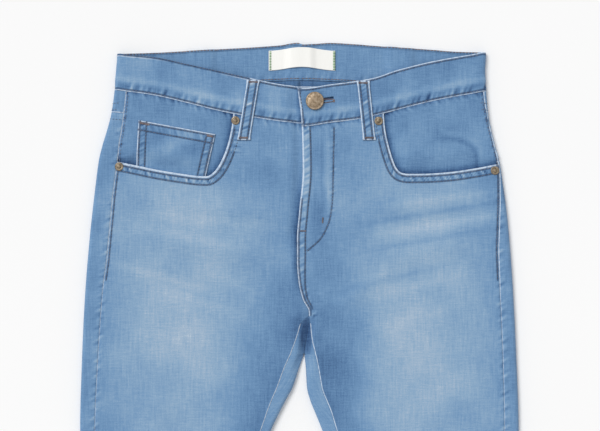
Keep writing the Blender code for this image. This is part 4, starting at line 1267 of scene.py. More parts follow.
def make_yoke(word, side):
    """Back yoke, from the waist seam to the yoke seam, whose end rolls round to the front."""
    fine = between(list(YOKE_COLUMNS), 4.0)[::-1]

    def x_of(d):
        outer, end = two_sided(OUTLINE, side, d) - 9.0, side * read(CENTRE_BACK, "x", d)
        inside = np.concatenate([[0.0], fine, [0.0]])
        place = np.arange(len(inside))
        return np.where(place == 0, outer, np.where(place == len(fine) + 1, end, inside))

    def columns_at(down):
        return round_the_side(side, down, len(fine) + 2, x_of)

    def top(x, front):
        return np.where(front, band_edge("front", "low", x), band_edge("back", "low", x))

    lines = (top, lambda x, front: yoke_seam(x))
    s, down = hung_rows(side, columns_at, lines, np.linspace(0, 1, 22), ())
    u = spread(side, s, down)
    cloth(
        f"denim_yoke_{word}", [f"yoke_{word}"], side, s, down,
        edges=[(yoke_line(side), 1.0), (outseam_line(side, 46.0, 90.0), 0.62)], rows=[outseam_row(side)],
        tucks=[(yoke_line(side), 6.0, 0.8, 6.0, 61 + side)], wash_and_shade=np.where(s > 0, 0.44, back_wash(u, down)),
        inside=0.22,
    )


# ---------------------------------------------------------------- waistband

# The buttonhole: a round eye and a narrow tail, cut along the band
EYE_HALF, TAIL_HALF = 3.7, 1.3
EYE_X, TAIL_X, TAIL_END = 9.9, 17.5, 31.8
TOP_END_RISE = 1.0          # how far the buttonhole end stands out
BAND_SIDE_DROP = 30.0       # where the band's turn round the side is measured
BAND_SIDE_X = 165.0         # from the centre to the turn


def end_level(front_end, x):
    """How far each end of the waistband stands out: the buttonhole end ("over") lies on the button end."""
    if front_end == "over":
        return TOP_END_RISE * (1 - smooth((x - 34.0) / 26.0))
    return -(BAND + LAYER_GAP - TOP_END_RISE) * smooth((x + 15.0) / 11.0)


def band_levels():
    """(shares of the band's height from its low edge, those at the buttonhole's edges)."""
    high, low = band_edge("front", "top", BUTTON_X), band_edge("front", "low", BUTTON_X)
    drops = (EYE_HALF, TAIL_HALF, -TAIL_HALF, -EYE_HALF)
    hole = [(low - (BUTTON_DOWN + drop)) / (low - high) for drop in drops]
    keys = [0.0, 0.012, 0.03, 0.06, 0.1] + hole + [0.9, 0.94, 0.97, 0.988, 1.0]
    return between(keys, 0.037), hole


def band_grid(levels):
    """(sides, runs, drops, lifts, x of the buttonhole end's columns) of the waistband.

    It is one strip: from the buttonhole end at the fly, round the left side, the back and the right side, to
    the button end that goes on under the first.
    """
    at = np.full(1, BAND_SIDE_DROP)
    run = float(fold_sizes(at)[1][0])
    half = between([0.0] + list(YOKE_COLUMNS) + [BAND_SIDE_X], 2.2)
    fold = np.linspace(0.93, -0.93, 13)     # just short of the ends of both quarter folds
    over = between([0.0, 1.0, EYE_X, TAIL_X, TAIL_END, BAND_SIDE_X], 1.4)
    parts = [
        ("over", 1, over),
        ("turn", 1, fold * run),
        ("back", 1, half[::-1]),
        ("back", -1, -half[1:]),
        ("turn", -1, -fold * run),
        ("under", -1, between([-BAND_SIDE_X, 0.0, BAND_UNDERLAP], 1.5)),
    ]
    grids = []
    for kind, side, value in parts:
        turning = kind == "turn"
        front = value >= 0 if turning else kind != "back"
        outline = float(two_sided(OUTLINE, side, at)[0])
        x = np.full(value.shape, side * outline) if turning else value
        edge_x = {"under": np.minimum(x, -TAB_STEP), "over": np.maximum(x, TAB_STEP)}.get(kind, x)
        top = np.where(front, band_edge("front", "top", edge_x), band_edge("back", "top", edge_x))
        low = np.where(front, band_edge("front", "low", edge_x), band_edge("back", "low", edge_x))
        down = low + (top - low) * levels[:, None]
        place = np.broadcast_to(x, down.shape).copy()
        if kind == "over":
            place[:, 0] = read(CENTRE_FRONT, "x", down[:, 0])
            place[:, 1] = place[:, 0] * 0.5 + 0.5
        s = np.broadcast_to(value, down.shape) if turning else run_of_x(side, place, down)
        s = -s if kind == "back" else s
        out = end_level(kind, place) if kind in ("over", "under") else np.zeros(down.shape)
        grids.append(np.stack([np.full(down.shape, float(side)), s, down, out]))
    return *np.concatenate(grids, axis=2), over


def without_buttonhole(keep, levels, hole, over):
    """The waistband's cells without those of the buttonhole."""
    x = ((over[:-1] + over[1:]) / 2)[None]
    level = ((levels[:-1] + levels[1:]) / 2)[:, None]
    eye = (x > EYE_X) & (x < TAIL_X) & (level > hole[0]) & (level < hole[3])
    tail = (x > TAIL_X) & (x < TAIL_END) & (level > hole[1]) & (level < hole[2])
    keep[:, : len(over) - 1] &= ~(eye | tail)
    return keep


def make_waistband():
    """One strip with a rolled middle and puckered edges, pressed over at the top to the wearer's right."""
    levels, hole = band_levels()
    side, s, down, out, over = band_grid(levels)
    keep = without_buttonhole(all_cells(s), levels, hole, over)
    u = spread(side, s, down)
    front = s > 0
    left, right = (side > 0) & front, (side < 0) & front
    high = down[0] - down[-1]
    top_gap, low_gap = (1 - levels[:, None]) * high, levels[:, None] * high
    roll = 0.25 * mound(low_gap - 11.0, 4.0) * front
    ripple = waves(u - 0.35 * low_gap, 71, 7.0) * (1 - smooth((low_gap - 3.0) / 9.0))
    ripple += 0.6 * waves(u, 73, 8.0) * (1 - smooth(top_gap / 6.0))
    wash_and_shade = 0.50 + 0.05 * mottle(u, down, 75, 40.0) + 0.2 * roll - 0.09 * left
    wash_and_shade += 0.10 * front * (mound(low_gap - 12.0, 3.5) - mound(low_gap - 6.0, 3.0))
    # Painted shadow on the button end, beside and under the buttonhole end that lies over it
    wash_and_shade -= 0.28 * right * smooth((u + 5.0) / 3.5)
    end = np.where(left, np.abs(beside(u, down, fly_line(43.0, 81.0))[0]), FAR)
    turned = right & (u < TURNED_X)
    top_row = np.where(turned, 0.7 * np.abs(top_gap - TURNED_INSET), np.abs(top_gap - ROW_INSET))
    end_row = np.where(end < 6, np.abs(end - ROW_INSET), FAR)
    row = np.minimum(np.minimum(top_row, np.abs(low_gap - ROW_INSET)), end_row)
    crease = np.abs(top_gap - 2.0) + 0.5 + 0.8 * mound(u + 105.0, 32.0)
    worn = np.where(turned, crease, np.where(front, top_gap, FAR))
    worn = np.minimum(worn, np.minimum(low_gap, end / 1.8))
    rim = rounded(np.minimum(np.minimum(top_gap, low_gap), end), BAND_EDGE, BAND_EDGE_WIDTH)
    relief = np.where(front, PUCKER, 0.1) * ripple
    lift = out + roll + relief - STITCH_GROOVE * mound(row, STITCH_GROOVE_WIDTH)
    point, normal = surface(side, s, down), normals(side, s, down)
    outer = point + normal * (lift - rim)[..., None]
    inner = point + normal * (lift - BAND + rim * 0.8)[..., None]
    marks = {
        "wash_and_shade": (wash_and_shade, np.full(u.shape, 0.46)),
        "edge": (worn, np.full(u.shape, FAR)),
        "row": (row, row + 0.5),
        "tuck": (ripple, ripple * 0.5),
    }
    uv = np.stack([u, down], axis=-1) / CLOTH_UNIT
    obj = shell("denim_waistband", outer, inner, keep, DENIM, uv, marks)
    cut_as(["waistband"], outer, keep)


# ---------------------------------------------------------------- pockets

# The coin pocket's corners (x, down): top left and right, then low left and right, as seen
COIN_CORNERS = np.array([[-155.5, 75.0], [-81.6, 88.6], [-158.4, 127.6], [-93.0, 137.0]])
# Edge of the pocket bag under the left facing: its soft step is painted as a pale band beside a dark line
BAG_EDGE = table(
    "t x down",
    (0.0, 124.0, 91.0),
    (0.35, 148.0, 92.4),
    (0.6, 162.0, 98.0),
    (0.8, 168.6, 107.0),
    (1.0, 170.0, 120.0),
)


def above_mouth(side, x, down):
    """Signed distance from the pocket's mouth, positive in the part of the facing that shows."""
    return -side * beside(x, down, mouth_points(side))[0]


def facing_sink(side, x, down):
    """The facing drops behind the pocket mouth by the thickness of the front, and of the coin pocket."""
    coin = smooth((x + 168.0) / 8.0) * smooth((-79.0 - x) / 8.0) * smooth((down - 72.0) / 14.0)
    extra = (FACING + 1.5 * LAYER_GAP) * coin if side < 0 else 0.0
    reach = 3.0 + 15.0 * smooth((side * (outseam_x(side, down) - x) - 2.0) / 24.0)
    return (PANEL + 1.5 * LAYER_GAP + extra) * (1 - smooth((above_mouth(side, x, down) - 1.0) / reach))


def facing_grid(side):
    """(runs, drops) of a facing: from the waist seam to the pocket mouth, then some way on behind it."""
    mx, md = mouth_line(side, np.linspace(1, 0, 100))
    along = np.linspace(0, 1, len(mx))
    dx, dd = np.gradient(mx), np.gradient(md)
    size = np.hypot(dx, dd)
    # Low edge: behind the mouth, less deep at the outseam, and drawn in at the waist seam
    reach = POCKET_REACH * np.interp(along, (0, 0.6, 1), (1, 1, 0.5))
    low_x = np.where(along > 0.97, mx - side * 4.0, mx - side * (dd / size) * reach)
    low_d = md + np.abs(dx / size) * reach
    at_start = np.clip(1 - along / 0.07, 0, 1)
    low_x = low_x + (mx[0] - side * 11.0 - low_x[0]) * at_start
    low_d = low_d + (md[0] + 4.0 - low_d[0]) * at_start
    # Rows: fine ones keep their distance above the mouth, even ones lie between them and the waist seam
    top_x = np.linspace(mx[0] + side * 0.6, outseam_x(side, np.array(48.0)), len(mx))
    top_d = band_edge("front", "low", top_x)
    height = np.hypot(top_x - mx, top_d - md)
    steps = between([23.0, 10.0, 0.0], 1.4)[:, None]
    near = 1 - steps * np.minimum(1.0, 0.8 * height / 23.0) / np.maximum(height, 1e-6)
    shares = np.concatenate([np.linspace(0, 1, 26)[:-1, None] * near[0], near])
    under = np.linspace(0, 1, 9)[1:, None]
    x = np.concatenate([top_x + (mx - top_x) * shares, mx + (low_x - mx) * under])
    down = np.concatenate([top_d + (md - top_d) * shares, md + (low_d - md) * under])
    inset = np.interp(down[:, -1] - md[-1], (-1.6, 0.0, POCKET_REACH), (0.0, 1.4, 7.0))
    s = run_of_x(side, x, down)
    s[:, -1] = run_of_x(side, outseam_x(side, down[:, -1]), down[:, -1]) + inset
    return s, down


def make_facing(word, side):
    """Denim facing seen in a front pocket's mouth, with painted shadow near the mouth and the seams."""
    s, down = facing_grid(side)
    x = surface(side, s, down)[..., 0]
    u = spread(side, s, down)
    outseam, waist = outseam_line(side, 46.0, 125.0), waist_front_line()
    # Painted shadow under the raised mouth edge, and beside the waist seam and the outseam
    shade = 0.34 * mound(np.maximum(above_mouth(side, x, down), 0), 4.4)
    shade = shade + seam_shade(u, down, waist) + seam_shade(u, down, outseam)
    wash_and_shade = 0.44 + 0.03 * mottle(u, down, 81 + side, 35.0) - shade
    if side > 0:
        # Painted highlight and painted shade of the bag edge's step
        bag, along = beside(u, down, curve(BAG_EDGE, 60))
        wash_and_shade += smooth(along / 20.0) * (0.07 * mound(bag - 4.0, 4.0) - 0.15 * mound(bag + 0.6, 2.6))
    cloth(
        f"denim_pocket_facing_{word}", [f"pocket_facing_{word}"], side, s, down,
        out=-facing_sink(side, x, down), thick=FACING, edges=[(outseam, 0.3)],
        tucks=[(waist, 8.0, 0.7, 6.5, 83 + side), (outseam, 6.0, 0.7, 6.5, 85)], wash_and_shade=wash_and_shade,
    )


def coin_point(u, v):
    """Point (x, down) of the coin pocket: u across from its left edge, v down from its top edge."""
    a, b, c, d = COIN_CORNERS.reshape(4, 2, *([1] * np.ndim(u)))
    return a * (1 - u) * (1 - v) + b * u * (1 - v) + c * (1 - u) * v + d * u * v


def coin_lift(x, down):
    """How far the coin pocket stands out from the surface."""
    return FACING + 1.6 * LAYER_GAP - facing_sink(-1, x, down)


def make_coin_pocket():
    """Patch on the right facing, with its lower end behind the pocket mouth. Gives its stitched rows."""
    u, v = np.meshgrid(between([0, 0.02, 0.98, 1], 0.017), between([0, 0.03, 1], 0.025))
    x, down = coin_point(u, v)
    t = np.linspace(0, 1, 60)
    top, left, right = coin_point(t, t * 0), coin_point(t * 0, t), coin_point(t * 0 + 1, t)
    rows = [
        across_line(top, -ROW_INSET),
        across_line(top, -9.0),
        across_line(left, ROW_INSET),
        across_line(left, 8.0),
        across_line(right, -ROW_INSET)[:, 2:],
        across_line(right, -8.0)[:, 5:],
    ]
    tucks = [
        (across_line(top, -5.0), 6.0, 0.6, 5.5, 91),
        (across_line(left, 5.0), 5.0, 0.8, 5.0, 92),
        (across_line(right, -5.0), 5.0, 0.8, 5.0, 93),
    ]
    cloth(
        "denim_coin_pocket", ["coin_pocket"], -1, run_of_x(-1, x, down), down, out=coin_lift(x, down),
        thick=FACING, edges=[(top, 1.2), (left, 1.0), (right, 1.0)], rows=rows, tucks=tucks,
        wash_and_shade=0.46 + 0.05 * mottle(x, down, 95, 25.0),
    )
    return rows


def back_pocket_point(side, u, v):
    """Point (x, down) of a back pocket: u across from -1 to 1, v from its top edge to its pointed end."""
    width = POCKET_WIDE + (POCKET_NARROW - POCKET_WIDE) * v
    x = side * (POCKET_X + u * width / 2)
    low = yoke_seam(POCKET_X) + POCKET_TOP + POCKET_HIGH + POCKET_POINT * (1 - np.abs(u))
    top = yoke_seam(x) + POCKET_TOP
    return np.array([x, top + v * (low - top)])


def back_pocket_border(side, inset):
    """The pocket's sides and point as one line, moved in from its edge."""
    corners = [(-1, 0), (-1, 1), (0, 1), (1, 1), (1, 0)]
    across, high = POCKET_WIDE / 2, POCKET_HIGH + POCKET_POINT / 2
    t = np.linspace(0, 1, 60)
    parts = []
    for (u0, v0), (u1, v1) in zip(corners, corners[1:]):
        u, v = u0 + (u1 - u0) * t, v0 + (v1 - v0) * t
        parts.append(back_pocket_point(side, u * (1 - inset / across), v * (1 - inset / high)))
    return np.concatenate(parts, axis=1)


def make_back_pocket(word, side):
    """Patch pocket under the seat."""
    u, v = np.meshgrid(between([-1, -0.97, 0, 0.97, 1], 0.03), between([0, 0.02, 0.98, 1], 0.03))
    x, down = back_pocket_point(side, u, v)
    t = np.linspace(-1, 1, 90)
    top = back_pocket_point(side, t, t * 0)
    rows = [back_pocket_border(side, ROW_INSET), back_pocket_border(side, ROW_INSET + ROW_GAP)]
    rows += [across_line(top, -side * ROW_INSET), across_line(top, -side * 10.0)]
    cloth(
        f"denim_back_pocket_{word}", [f"back_pocket_{word}"], side, -run_of_x(side, x, down), down,
        out=POCKET_THICK + LAYER_GAP, thick=POCKET_THICK,
        edges=[(top, 1.1), (back_pocket_border(side, 0.0), 1.0)], rows=rows,
        tucks=[(back_pocket_border(side, 5.0), 6.0, 0.5, 6.0, 97)], wash_and_shade=back_wash(x, down) + 0.03,
    )


# ---------------------------------------------------------------- belt loops

def loop_middle(place, share):
    """Middle line of a belt loop, by share of its length from its top."""
    x_top, down_top, x_low, down_low = place
    return line_of(x_top + (x_low - x_top) * share, down_top + (down_low - down_top) * share)


def loop_arch(share):
    """A front belt loop bows up where it crosses the waistband."""
    return np.sin(math.pi * np.clip((share - 0.1) / 0.5, 0, 1))


def make_loop(name, place, front):
    """Strip over the waistband, whose ends are a little wider than its body."""
    across, share = np.meshgrid(between([-0.5, -0.46, 0.46, 0.5], 0.05), between([0, 0.02, 0.98, 1], 0.022))
    width = LOOP_BODY + (LOOP_WIDTH - LOOP_BODY) * (1 - smooth(np.minimum(share, 1 - share) / 0.11))
    x, down = loop_middle(place, share)
    x = x + across * width
    side = -1 if place[0] < 0 else 1
    s = run_of_x(side, x, down)
    middle = loop_middle(place, np.linspace(0, 1, 60))
    edges = [(across_line(middle, sign * LOOP_BODY / 2), 1.0) for sign in (-1, 1)]
    for x_end, down_end in (place[:2], place[2:]):
        edges.append((line_of(x_end + np.linspace(-6, 6, 9), down_end), 1.0))
    level = end_level("over", x) if front and side > 0 else 0.0
    arch = 0.35 * loop_arch(share) if front else 0.0
    cloth(
        f"denim_{name}", [name], side, s if front else -s, down, out=level + LOOP_GAP + LOOP_THICK + arch,
        thick=LOOP_THICK, edges=edges, rows=[across_line(middle, LOOP_ROW), across_line(middle, -LOOP_ROW)],
        tucks=[(middle, 7.0, 1.0, 5.0, int(abs(place[0])))], wash_and_shade=0.50 + 0.08 * mottle(x, down, 101, 16.0),
    )


# ---------------------------------------------------------------- label, metal and zip

LABEL_X, LABEL_TOP = 1.4, 4.7
LABEL_WIDE, LABEL_HIGH, LABEL_THICK = 64.0, 19.0, 1.0
UP = np.array([0.0, 0.0, 1.0])


def label_point(u, v):
    """Point of the label's underside: u across from -1 to 1, v down from 0 to 1."""
    x = LABEL_X + u * LABEL_WIDE / 2
    bow = 1 - smooth(np.abs(u) * 1.1)
    down = LABEL_TOP + 3.2 * smooth(np.abs(u)) + v * LABEL_HIGH
    rest = back_height(x, down) + BAND + LAYER_GAP
    return np.stack([x, -down, rest + 0.9 * bow], axis=-1)


def make_label():
    """Woven label on the inner face of the back waistband, bowed up a little at its middle."""
    u, v = np.meshgrid(between([-1, -0.98, 0.98, 1], 0.03), between([0, 0.03, 0.97, 1], 0.06))
    low = label_point(u, v)
    ripple = 0.12 * waves(low[..., 0], 99, 22.0)
    high = low.copy()
    high[..., 2] += LABEL_THICK * 0.75 + ripple
    low[..., 2] += ripple - 0.1
    keep = all_cells(u)
    uv = np.stack([u * 0.32, v * 0.18], axis=-1)
    obj = shell("woven_label", high, low, keep, LABEL_CLOTH, uv, {})
    cut_as(["label"], high, keep)


# Profiles of radius r and height h, from the foot up to the middle
BUTTON_CAP = table(
    "t r h",
    (0.0, 2.6, 0.3),
    (0.12, 2.6, 3.2),
    (0.3, 7.6, 3.2),
    (0.42, 8.5, 3.6),
    (0.5, 8.7, 4.4),
    (0.57, 8.5, 5.1),
    (0.64, 7.9, 5.5),
    (0.7, 7.2, 5.45),
    (0.76, 6.6, 5.5),
    (0.88, 4.0, 5.95),
    (1.0, 0.02, 6.1),
)
RIVET_SHAPE = table(
    "t r h",
    (0.0, 4.1, 0.3),
    (0.1, 4.1, 0.75),
    (0.25, 3.9, 1.1),
    (0.45, 3.3, 1.3),
    (0.6, 2.3, 1.25),
    (0.68, 1.7, 1.5),
    (0.8, 1.5, 2.1),
    (0.9, 1.0, 2.3),
    (1.0, 0.02, 2.32),
)
RIVETS = table(
    "side x down",
    (-1, -62.4, 75.4),
    (-1, -174.0, 119.6),
    (1, 75.0, 75.8),
    (1, 186.6, 123.4),
)
RIVET_NAMES = ("rivet_right_inner", "rivet_right_outer", "rivet_left_inner", "rivet_left_outer")


def make_turned(name, node, shape, base, normal, material, segments=48, rings=44):
    """A profile carried round the normal at its base.

    The point at share t and angle a lies r(t) out along the direction turned by a, and h(t) up the normal.
    """
    t = np.linspace(0, 1, rings)[:, None]
    angle = np.linspace(0, 2 * math.pi, segments, endpoint=False)[None]
    r, h = read(shape, "r", t)[..., None], read(shape, "h", t)[..., None]
    one = np.cross(normal, (0.0, 1.0, 0.0))
    one = one / np.linalg.norm(one)
    two = np.cross(normal, one)
    out = np.cos(angle)[..., None] * one + np.sin(angle)[..., None] * two
    points = base + r * out + h * normal
    ends = [np.broadcast_to(ring.mean(axis=0), (1, segments, 3)) for ring in (points[0], points[-1])]
    grid = np.concatenate([ends[0], points, ends[1]])
    index = np.arange((rings + 2) * segments).reshape(rings + 2, segments)
    after = np.roll(index, -1, axis=1)
    faces = np.stack([index[:-1], after[:-1], after[1:], index[1:]], axis=-1).reshape(-1, 4)
    obj = new_object(name, grid.reshape(-1, 3), faces, material)
    merge = obj.modifiers.new("merge", "WELD")      # joins the point of each end
    merge.merge_threshold = 1e-6
    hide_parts(node)


def make_metal():
    """The button over the buttonhole, and a rivet at each end of each pocket mouth."""
    x, down = np.array([BUTTON_X]), np.array([BUTTON_DOWN])
    base = surface(1, run_of_x(1, x, down), down)[0]
    base[2] += float(end_level("under", x)[0])
    make_turned("waist_button", "button", BUTTON_CAP, base, UP, BUTTON_BRONZE, 64, 60)
    for name, side, x, down in zip(RIVET_NAMES, *RIVETS.values()):
        x, down = np.array([x]), np.array([down])
        s = run_of_x(side, x, down)
        base, normal = surface(side, s, down)[0], normals(side, s, down)[0]
        make_turned(f"bronze_{name}", name, RIVET_SHAPE, base, normal, RIVET_BRONZE)


ZIP_X, ZIP_TOP, ZIP_LOW = 12.0, 84.0, 176.0
ZIP_DROP = 2 * (PANEL + LAYER_GAP)
ZIP_TAPE, ZIP_CHAIN = 1.1, 0.9
TOOTH_PITCH = 2.4


def make_zip():
    """Closed zip behind the fly: a tape with the chain as a toothed ridge along it."""
    columns = between([-13.0, 2.0, 3.0, 7.0, 8.0, 13.0], 1.0)
    across, down = np.meshgrid(columns, between([ZIP_TOP, ZIP_LOW], 0.6))
    x = ZIP_X + across
    chain = smooth((across - 2.0) / 1.0) * smooth((8.0 - across) / 1.0)
    teeth = 0.65 + 0.35 * np.sign(np.sin(2 * math.pi * down / TOOTH_PITCH))
    level = surface(1, run_of_x(1, x, down), down)[..., 2] - ZIP_DROP
    high = np.stack([x, -down, level + ZIP_CHAIN * chain * teeth], axis=-1)
    low = np.stack([x, -down, level - ZIP_TAPE * 0.8], axis=-1)
    keep = all_cells(x)
    values = {"wash_and_shade": 0.3, "edge": FAR, "row": FAR, "tuck": 0.0}
    marks = {key: [np.full(x.shape, value)] * 2 for key, value in values.items()}
    uv = np.stack([x, down], axis=-1) / CLOTH_UNIT
    obj = shell("zip_chain_and_tape", high, low, keep, DENIM, uv, marks)
    cut_as(["zip"], low, keep)


# ---------------------------------------------------------------- stitching

# Rings of a stitch: share of its half length, thickness and height, over the thread's radius
STITCH_RINGS = table(
    "t size rise",
    (-1.0, 0.4, -0.9),
    (-0.55, 0.95, 0.1),
    (0.0, 1.0, 0.5),
    (0.55, 0.95, 0.1),
    (1.0, 0.4, -0.9),
)
RING_COUNT, RING_POINTS = 5, 4
# Bar tacks on the left front and on the coin pocket: middle, angle from +X and length
FLY_TACKS = table("x down angle size", (2.6, 181.4, 0, 6.0), (21.4, 170.9, 86, 5.4))
COIN_TACKS = table("x down angle size", (-149.3, 78.6, -12, 9.0), (-86.6, 90.4, -12, 6.0))


def stitch_mesh(centre, along, normal, length, radius):
    """Points and faces of stitches: four-sided tubes in a low arc, thin where they dive into the cloth."""
    side = np.cross(normal, along)
    t, size, rise = (values[:, None] for values in STITCH_RINGS.values())
    angle = np.arange(RING_POINTS)[:, None] * math.pi / 2 + math.pi / 4
    ring = centre[:, None] + along[:, None] * (t * length / 2) + normal[:, None] * (rise * radius)
    around = np.cos(angle) * side[:, None, None] + np.sin(angle) * normal[:, None, None]
    points = ring[:, :, None] + (size * radius)[..., None] * around
    k, j = np.meshgrid(np.arange(RING_COUNT - 1), np.arange(RING_POINTS), indexing="ij")
    a, b = k * RING_POINTS + j, k * RING_POINTS + (j + 1) % RING_POINTS
    walls = np.stack([a, b, b + RING_POINTS, a + RING_POINTS], axis=-1).reshape(-1, 4)
    faces = np.concatenate([walls, [[3, 2, 1, 0]], [[16, 17, 18, 19]]])
    first = np.arange(len(centre)) * RING_COUNT * RING_POINTS
    return points.reshape(-1, 3), (faces[None] + first[:, None, None]).reshape(-1, 4)


def on_cloth(side, line, sheet, out):
    """(points, normals, lifts) along a line in the flat coordinates. out is a number or out(x, down)."""
    x, down = line
    s = sheet * run_of_spread(side, x, down)
    lift = out(x, down) if callable(out) else out
    return surface(side, s, down), normals(side, s, down), np.broadcast_to(lift, s.shape)[:, None]


def sewn(side, line, sheet=1, out=0.0, length=STITCH_LENGTH, radius=THREAD_RADIUS, inside=0.0):
    """Stitches along a line, on the outer face or, by the thickness "inside", on the inner one."""
    point, normal, lift = on_cloth(side, even(line), sheet, out)
    ahead = np.gradient(point, axis=0) if len(point) > 1 else np.array([[1.0, 0.0, 0.0]])
    ahead = ahead - (ahead * normal).sum(axis=1, keepdims=True) * normal
    ahead = ahead / np.linalg.norm(ahead, axis=1, keepdims=True)
    where = point + normal * (lift - inside)
    return stitch_mesh(where, ahead, -normal if inside else normal, length, radius)


def bar_tack(side, x, down, angle, size, out=0.0, wide=1.6):
    """A short dense bar: close cross stitches over a line at an angle from +X."""
    c, s = math.cos(math.radians(angle)), math.sin(math.radians(angle))
    t = np.arange(-size / 2, size / 2 + 0.01, 0.55)
    point, normal, lift = on_cloth(side, line_of(x + t * c, down - t * s), 1, out)
    along = np.gradient(point, axis=0)
    along = along / np.linalg.norm(along, axis=1, keepdims=True)
    return stitch_mesh(point + normal * (lift + 0.15), np.cross(normal, along), normal, wide, 0.3)


def make_thread(name, parts, material):
    """One piece of many stitches."""
    points, faces, count = [], [], 0
    for p, f in parts:
        points.append(p)
        faces.append(f + count)
        count += len(p)
    obj = new_object(name, np.concatenate(points), np.concatenate(faces), material)


def band_out(x, down):
    """How far the front waistband stands out: its left end lies on the right one."""
    return end_level("over", x) * (x > 0)


def stitch_waistband(side, front, brown, back):
    """Rows along both edges of the band, outside over both sheets and inside over the back."""
    x_front, x_back = np.arange(4.0, 172.0, LINE_STEP) * side, np.arange(1.0, 172.0, LINE_STEP) * side
    for level, sign in (("top", 1), ("low", -1)):
        top = level == "top"
        inset = np.where((x_front < TURNED_X) & top, TURNED_INSET, ROW_INSET)
        line = line_of(x_front, band_edge("front", level, x_front) + sign * inset)
        front.append(sewn(side, line, out=band_out))
        edge = band_edge("back", level, x_back)
        back.append(sewn(side, line_of(x_back, edge + sign * ROW_INSET), sheet=-1))
        line = line_of(x_back, edge + (TURNED_INSET if top else -ROW_INSET))
        brown.append(sewn(side, line, sheet=-1, inside=BAND, length=3.4, radius=0.6 if top else 0.45))


def stitch_leg(side, front, back):
    """Rows at the pocket mouth, the outseam, the yoke's end on the front and the hem."""
    front.append(sewn(side, mouth_row(side, MOUTH_ROW[side]), out=0.3))
    front.append(sewn(side, mouth_row(side, MOUTH_HEM[side]), out=0.3))
    front.append(sewn(side, outseam_row(side)))
    x = side * np.arange(160.0, 190.0, LINE_STEP)
    x = x[side * (x - outseam_x(side, yoke_seam(x))) > 2.5]
    front.append(sewn(side, line_of(x, yoke_seam(x) + ROW_GAP)))
    x = side * np.arange(66.0, 176.0, LINE_STEP)
    hem = line_of(x, LENGTH - HEM_HEIGHT + 1.0)
    front.append(sewn(side, hem, out=0.05))
    back.append(sewn(side, hem, sheet=-1, out=0.05))


def stitch_loop(place, front, brown):
    """Two rows along a front belt loop, and a bar tack at each end."""
    x_top, down_top, x_low, down_low = place
    side = -1 if x_top < 0 else 1

    def out(x, down):
        arch = loop_arch((down - down_top) / (down_low - down_top))
        return band_out(x, down) + LOOP_GAP + LOOP_THICK + 0.3 * arch

    middle = loop_middle(place, np.linspace(0.06, 0.94, 50))
    for across in (-LOOP_ROW, LOOP_ROW):
        front.append(sewn(side, across_line(middle, across), out=out))
    for x, down in ((x_top, down_top + 2.2), (x_low, down_low - 2.2)):
        brown.append(bar_tack(side, x, down, 0, 8.4, out=out, wide=2.2))


def label_stitches():
    """A row of stitches across each end of the label."""
    v = np.linspace(0.06, 0.94, 12)
    along, normal = np.tile([1.0, 0.0, 0.0], (len(v), 1)), np.tile(UP, (len(v), 1))
    rows = []
    for u in (-0.95, 0.97):
        spot = label_point(np.full(v.shape, u), v)
        spot[:, 2] += LABEL_THICK * 0.75 + 0.1
        rows.append(stitch_mesh(spot, along, normal, 2.6, 0.5))
    return rows


def make_stitching(coin_rows):
    front, brown, back = [], [], []
    for side in (-1, 1):
        stitch_waistband(side, front, brown, back)
        stitch_leg(side, front, back)
        for inset in (ROW_INSET, ROW_INSET + ROW_GAP):
            pocket = back_pocket_border(side, inset)
            back.append(sewn(side, pocket, sheet=-1, out=POCKET_THICK + LAYER_GAP))
            x, down = yoke_line(side)
            back.append(sewn(side, line_of(x, down - inset)[:, 2:], sheet=-1))
    front.append(sewn(1, across_line(fly_line(45.0, 79.0), ROW_INSET), out=TOP_END_RISE))
    front.append(sewn(1, across_line(fly_line(150.0, 258.0), FLY_INSET), out=0.25))
    front.append(sewn(1, fly_row(84.0, 256.0), out=0.2))
    front.append(sewn(1, fly_curve()))
    for row in coin_rows:
        shown = above_mouth(-1, row[0], row[1]) > 0.5
        front.append(sewn(-1, row[:, shown], out=coin_lift))
    for place in zip(*FRONT_LOOPS.values()):
        stitch_loop(place, front, brown)
    for x, down, angle, size in zip(*FLY_TACKS.values()):
        brown.append(bar_tack(1, x, down, angle, size, out=0.2))
    for x, down, angle, size in zip(*COIN_TACKS.values()):
        brown.append(bar_tack(-1, x, down, angle, size, out=coin_lift, wide=2.4))
    for sign in (-1, 1):
        brown.append(bar_tack(1, 25.5, BUTTON_DOWN + sign * 1.5, 4 + sign * 5, 13.0, out=band_out, wide=1.3))
    brown.append(bar_tack(1, TAIL_END + 0.3, BUTTON_DOWN - 0.2, 90, 2.6, out=band_out, wide=2.4))
    make_thread("topstitching_front", front, TOPSTITCH)
    make_thread("bar_tacks_and_buttonhole", brown, BROWN_THREAD)
    make_thread("topstitching_back", back, TOPSTITCH)
    make_thread("label_stitches", label_stitches(), GREEN_THREAD)


# ---------------------------------------------------------------- floor, light and camera

PHOTO_WIDTH, PHOTO_HEIGHT = 600, 431
PIXEL = 0.96                # millimetres of the garment to a pixel of the photograph
CENTRE_PIXEL, TOP_PIXEL = 300.5, 42.0   # where the garment's own zero lies in the photograph
LENS, SENSOR = 85.0, 36.0
FLOOR_HALF = 6.0            # metres


def place_in_scene(name, data):
    """New object in the scene, from a mesh, light or camera."""
    obj = bpy.data.objects.new(name, data)
    bpy.context.scene.collection.objects.link(obj)
    return obj


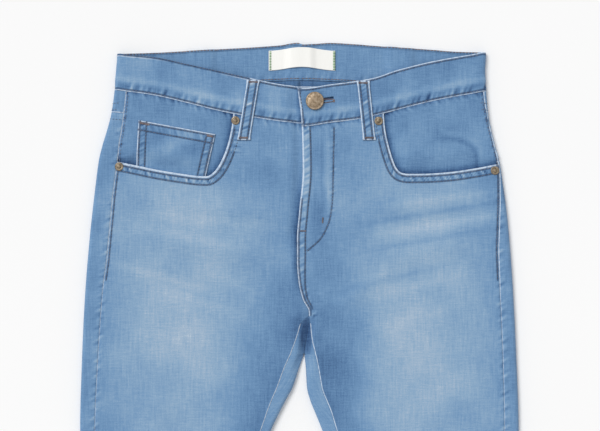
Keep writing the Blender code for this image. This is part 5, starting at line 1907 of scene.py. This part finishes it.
def make_stage():
    """White floor."""
    mat, tree, shader = new_material("white_floor", 0.9, Specular_IOR_Level=0.1)
    grain = noise(tree, object_place(tree), 3.0, rough=0.5)
    colour = blend(tree, grain, linear(250, 250, 250), linear(253, 253, 253))
    tree.links.new(colour, shader.inputs["Base Color"])
    mesh = bpy.data.meshes.new("floor")
    r = FLOOR_HALF
    mesh.from_pydata([(-r, -r, 0), (r, -r, 0), (r, r, 0), (-r, r, 0)], [], [(0, 1, 2, 3)])
    mesh.materials.append(mat)
    place_in_scene("floor", mesh)


def make_light():
    """Even white room light, and a soft window high on the wearer's right."""
    world = bpy.data.worlds.new("studio")
    world.use_nodes = True
    background = world.node_tree.nodes["Background"]
    background.inputs["Color"].default_value = (1.0, 1.0, 1.0, 1.0)
    background.inputs["Strength"].default_value = 0.55
    bpy.context.scene.world = world
    window = bpy.data.lights.new("window", "SUN")
    window.energy = 1.75
    window.angle = math.radians(30)
    place_in_scene("window", window).rotation_euler = (math.radians(-24), math.radians(-30), 0)
    bpy.context.scene.view_settings.view_transform = "Standard"


def make_camera():
    """Straight down over the middle of the photograph."""
    lens = bpy.data.cameras.new("camera")
    lens.lens, lens.sensor_width = LENS, SENSOR
    camera = place_in_scene("camera", lens)
    x = (PHOTO_WIDTH / 2 - CENTRE_PIXEL) * PIXEL
    down = (PHOTO_HEIGHT / 2 - TOP_PIXEL) * PIXEL
    height = PHOTO_WIDTH * PIXEL * LENS / SENSOR
    camera.location = (x * MM + SHIFT[0], -down * MM + SHIFT[1], (height + DEPTH["height"][1]) * MM)
    bpy.context.scene.camera = camera


for word, side in (("right", -1), ("left", 1)):
    make_front(word, side)
    make_back(word, side)
    make_yoke(word, side)
    make_facing(word, side)
    make_back_pocket(word, side)
make_waistband()
coin_rows = make_coin_pocket()
for word, place in zip(("right", "left"), zip(*FRONT_LOOPS.values())):
    make_loop(f"belt_loop_front_{word}", place, True)
for word, place in zip(("right", "left", "centre"), zip(*BACK_LOOPS.values())):
    make_loop(f"belt_loop_back_{word}", place, False)
make_label()
make_metal()
make_zip()
make_stitching(coin_rows)
make_stage()
make_light()
make_camera()
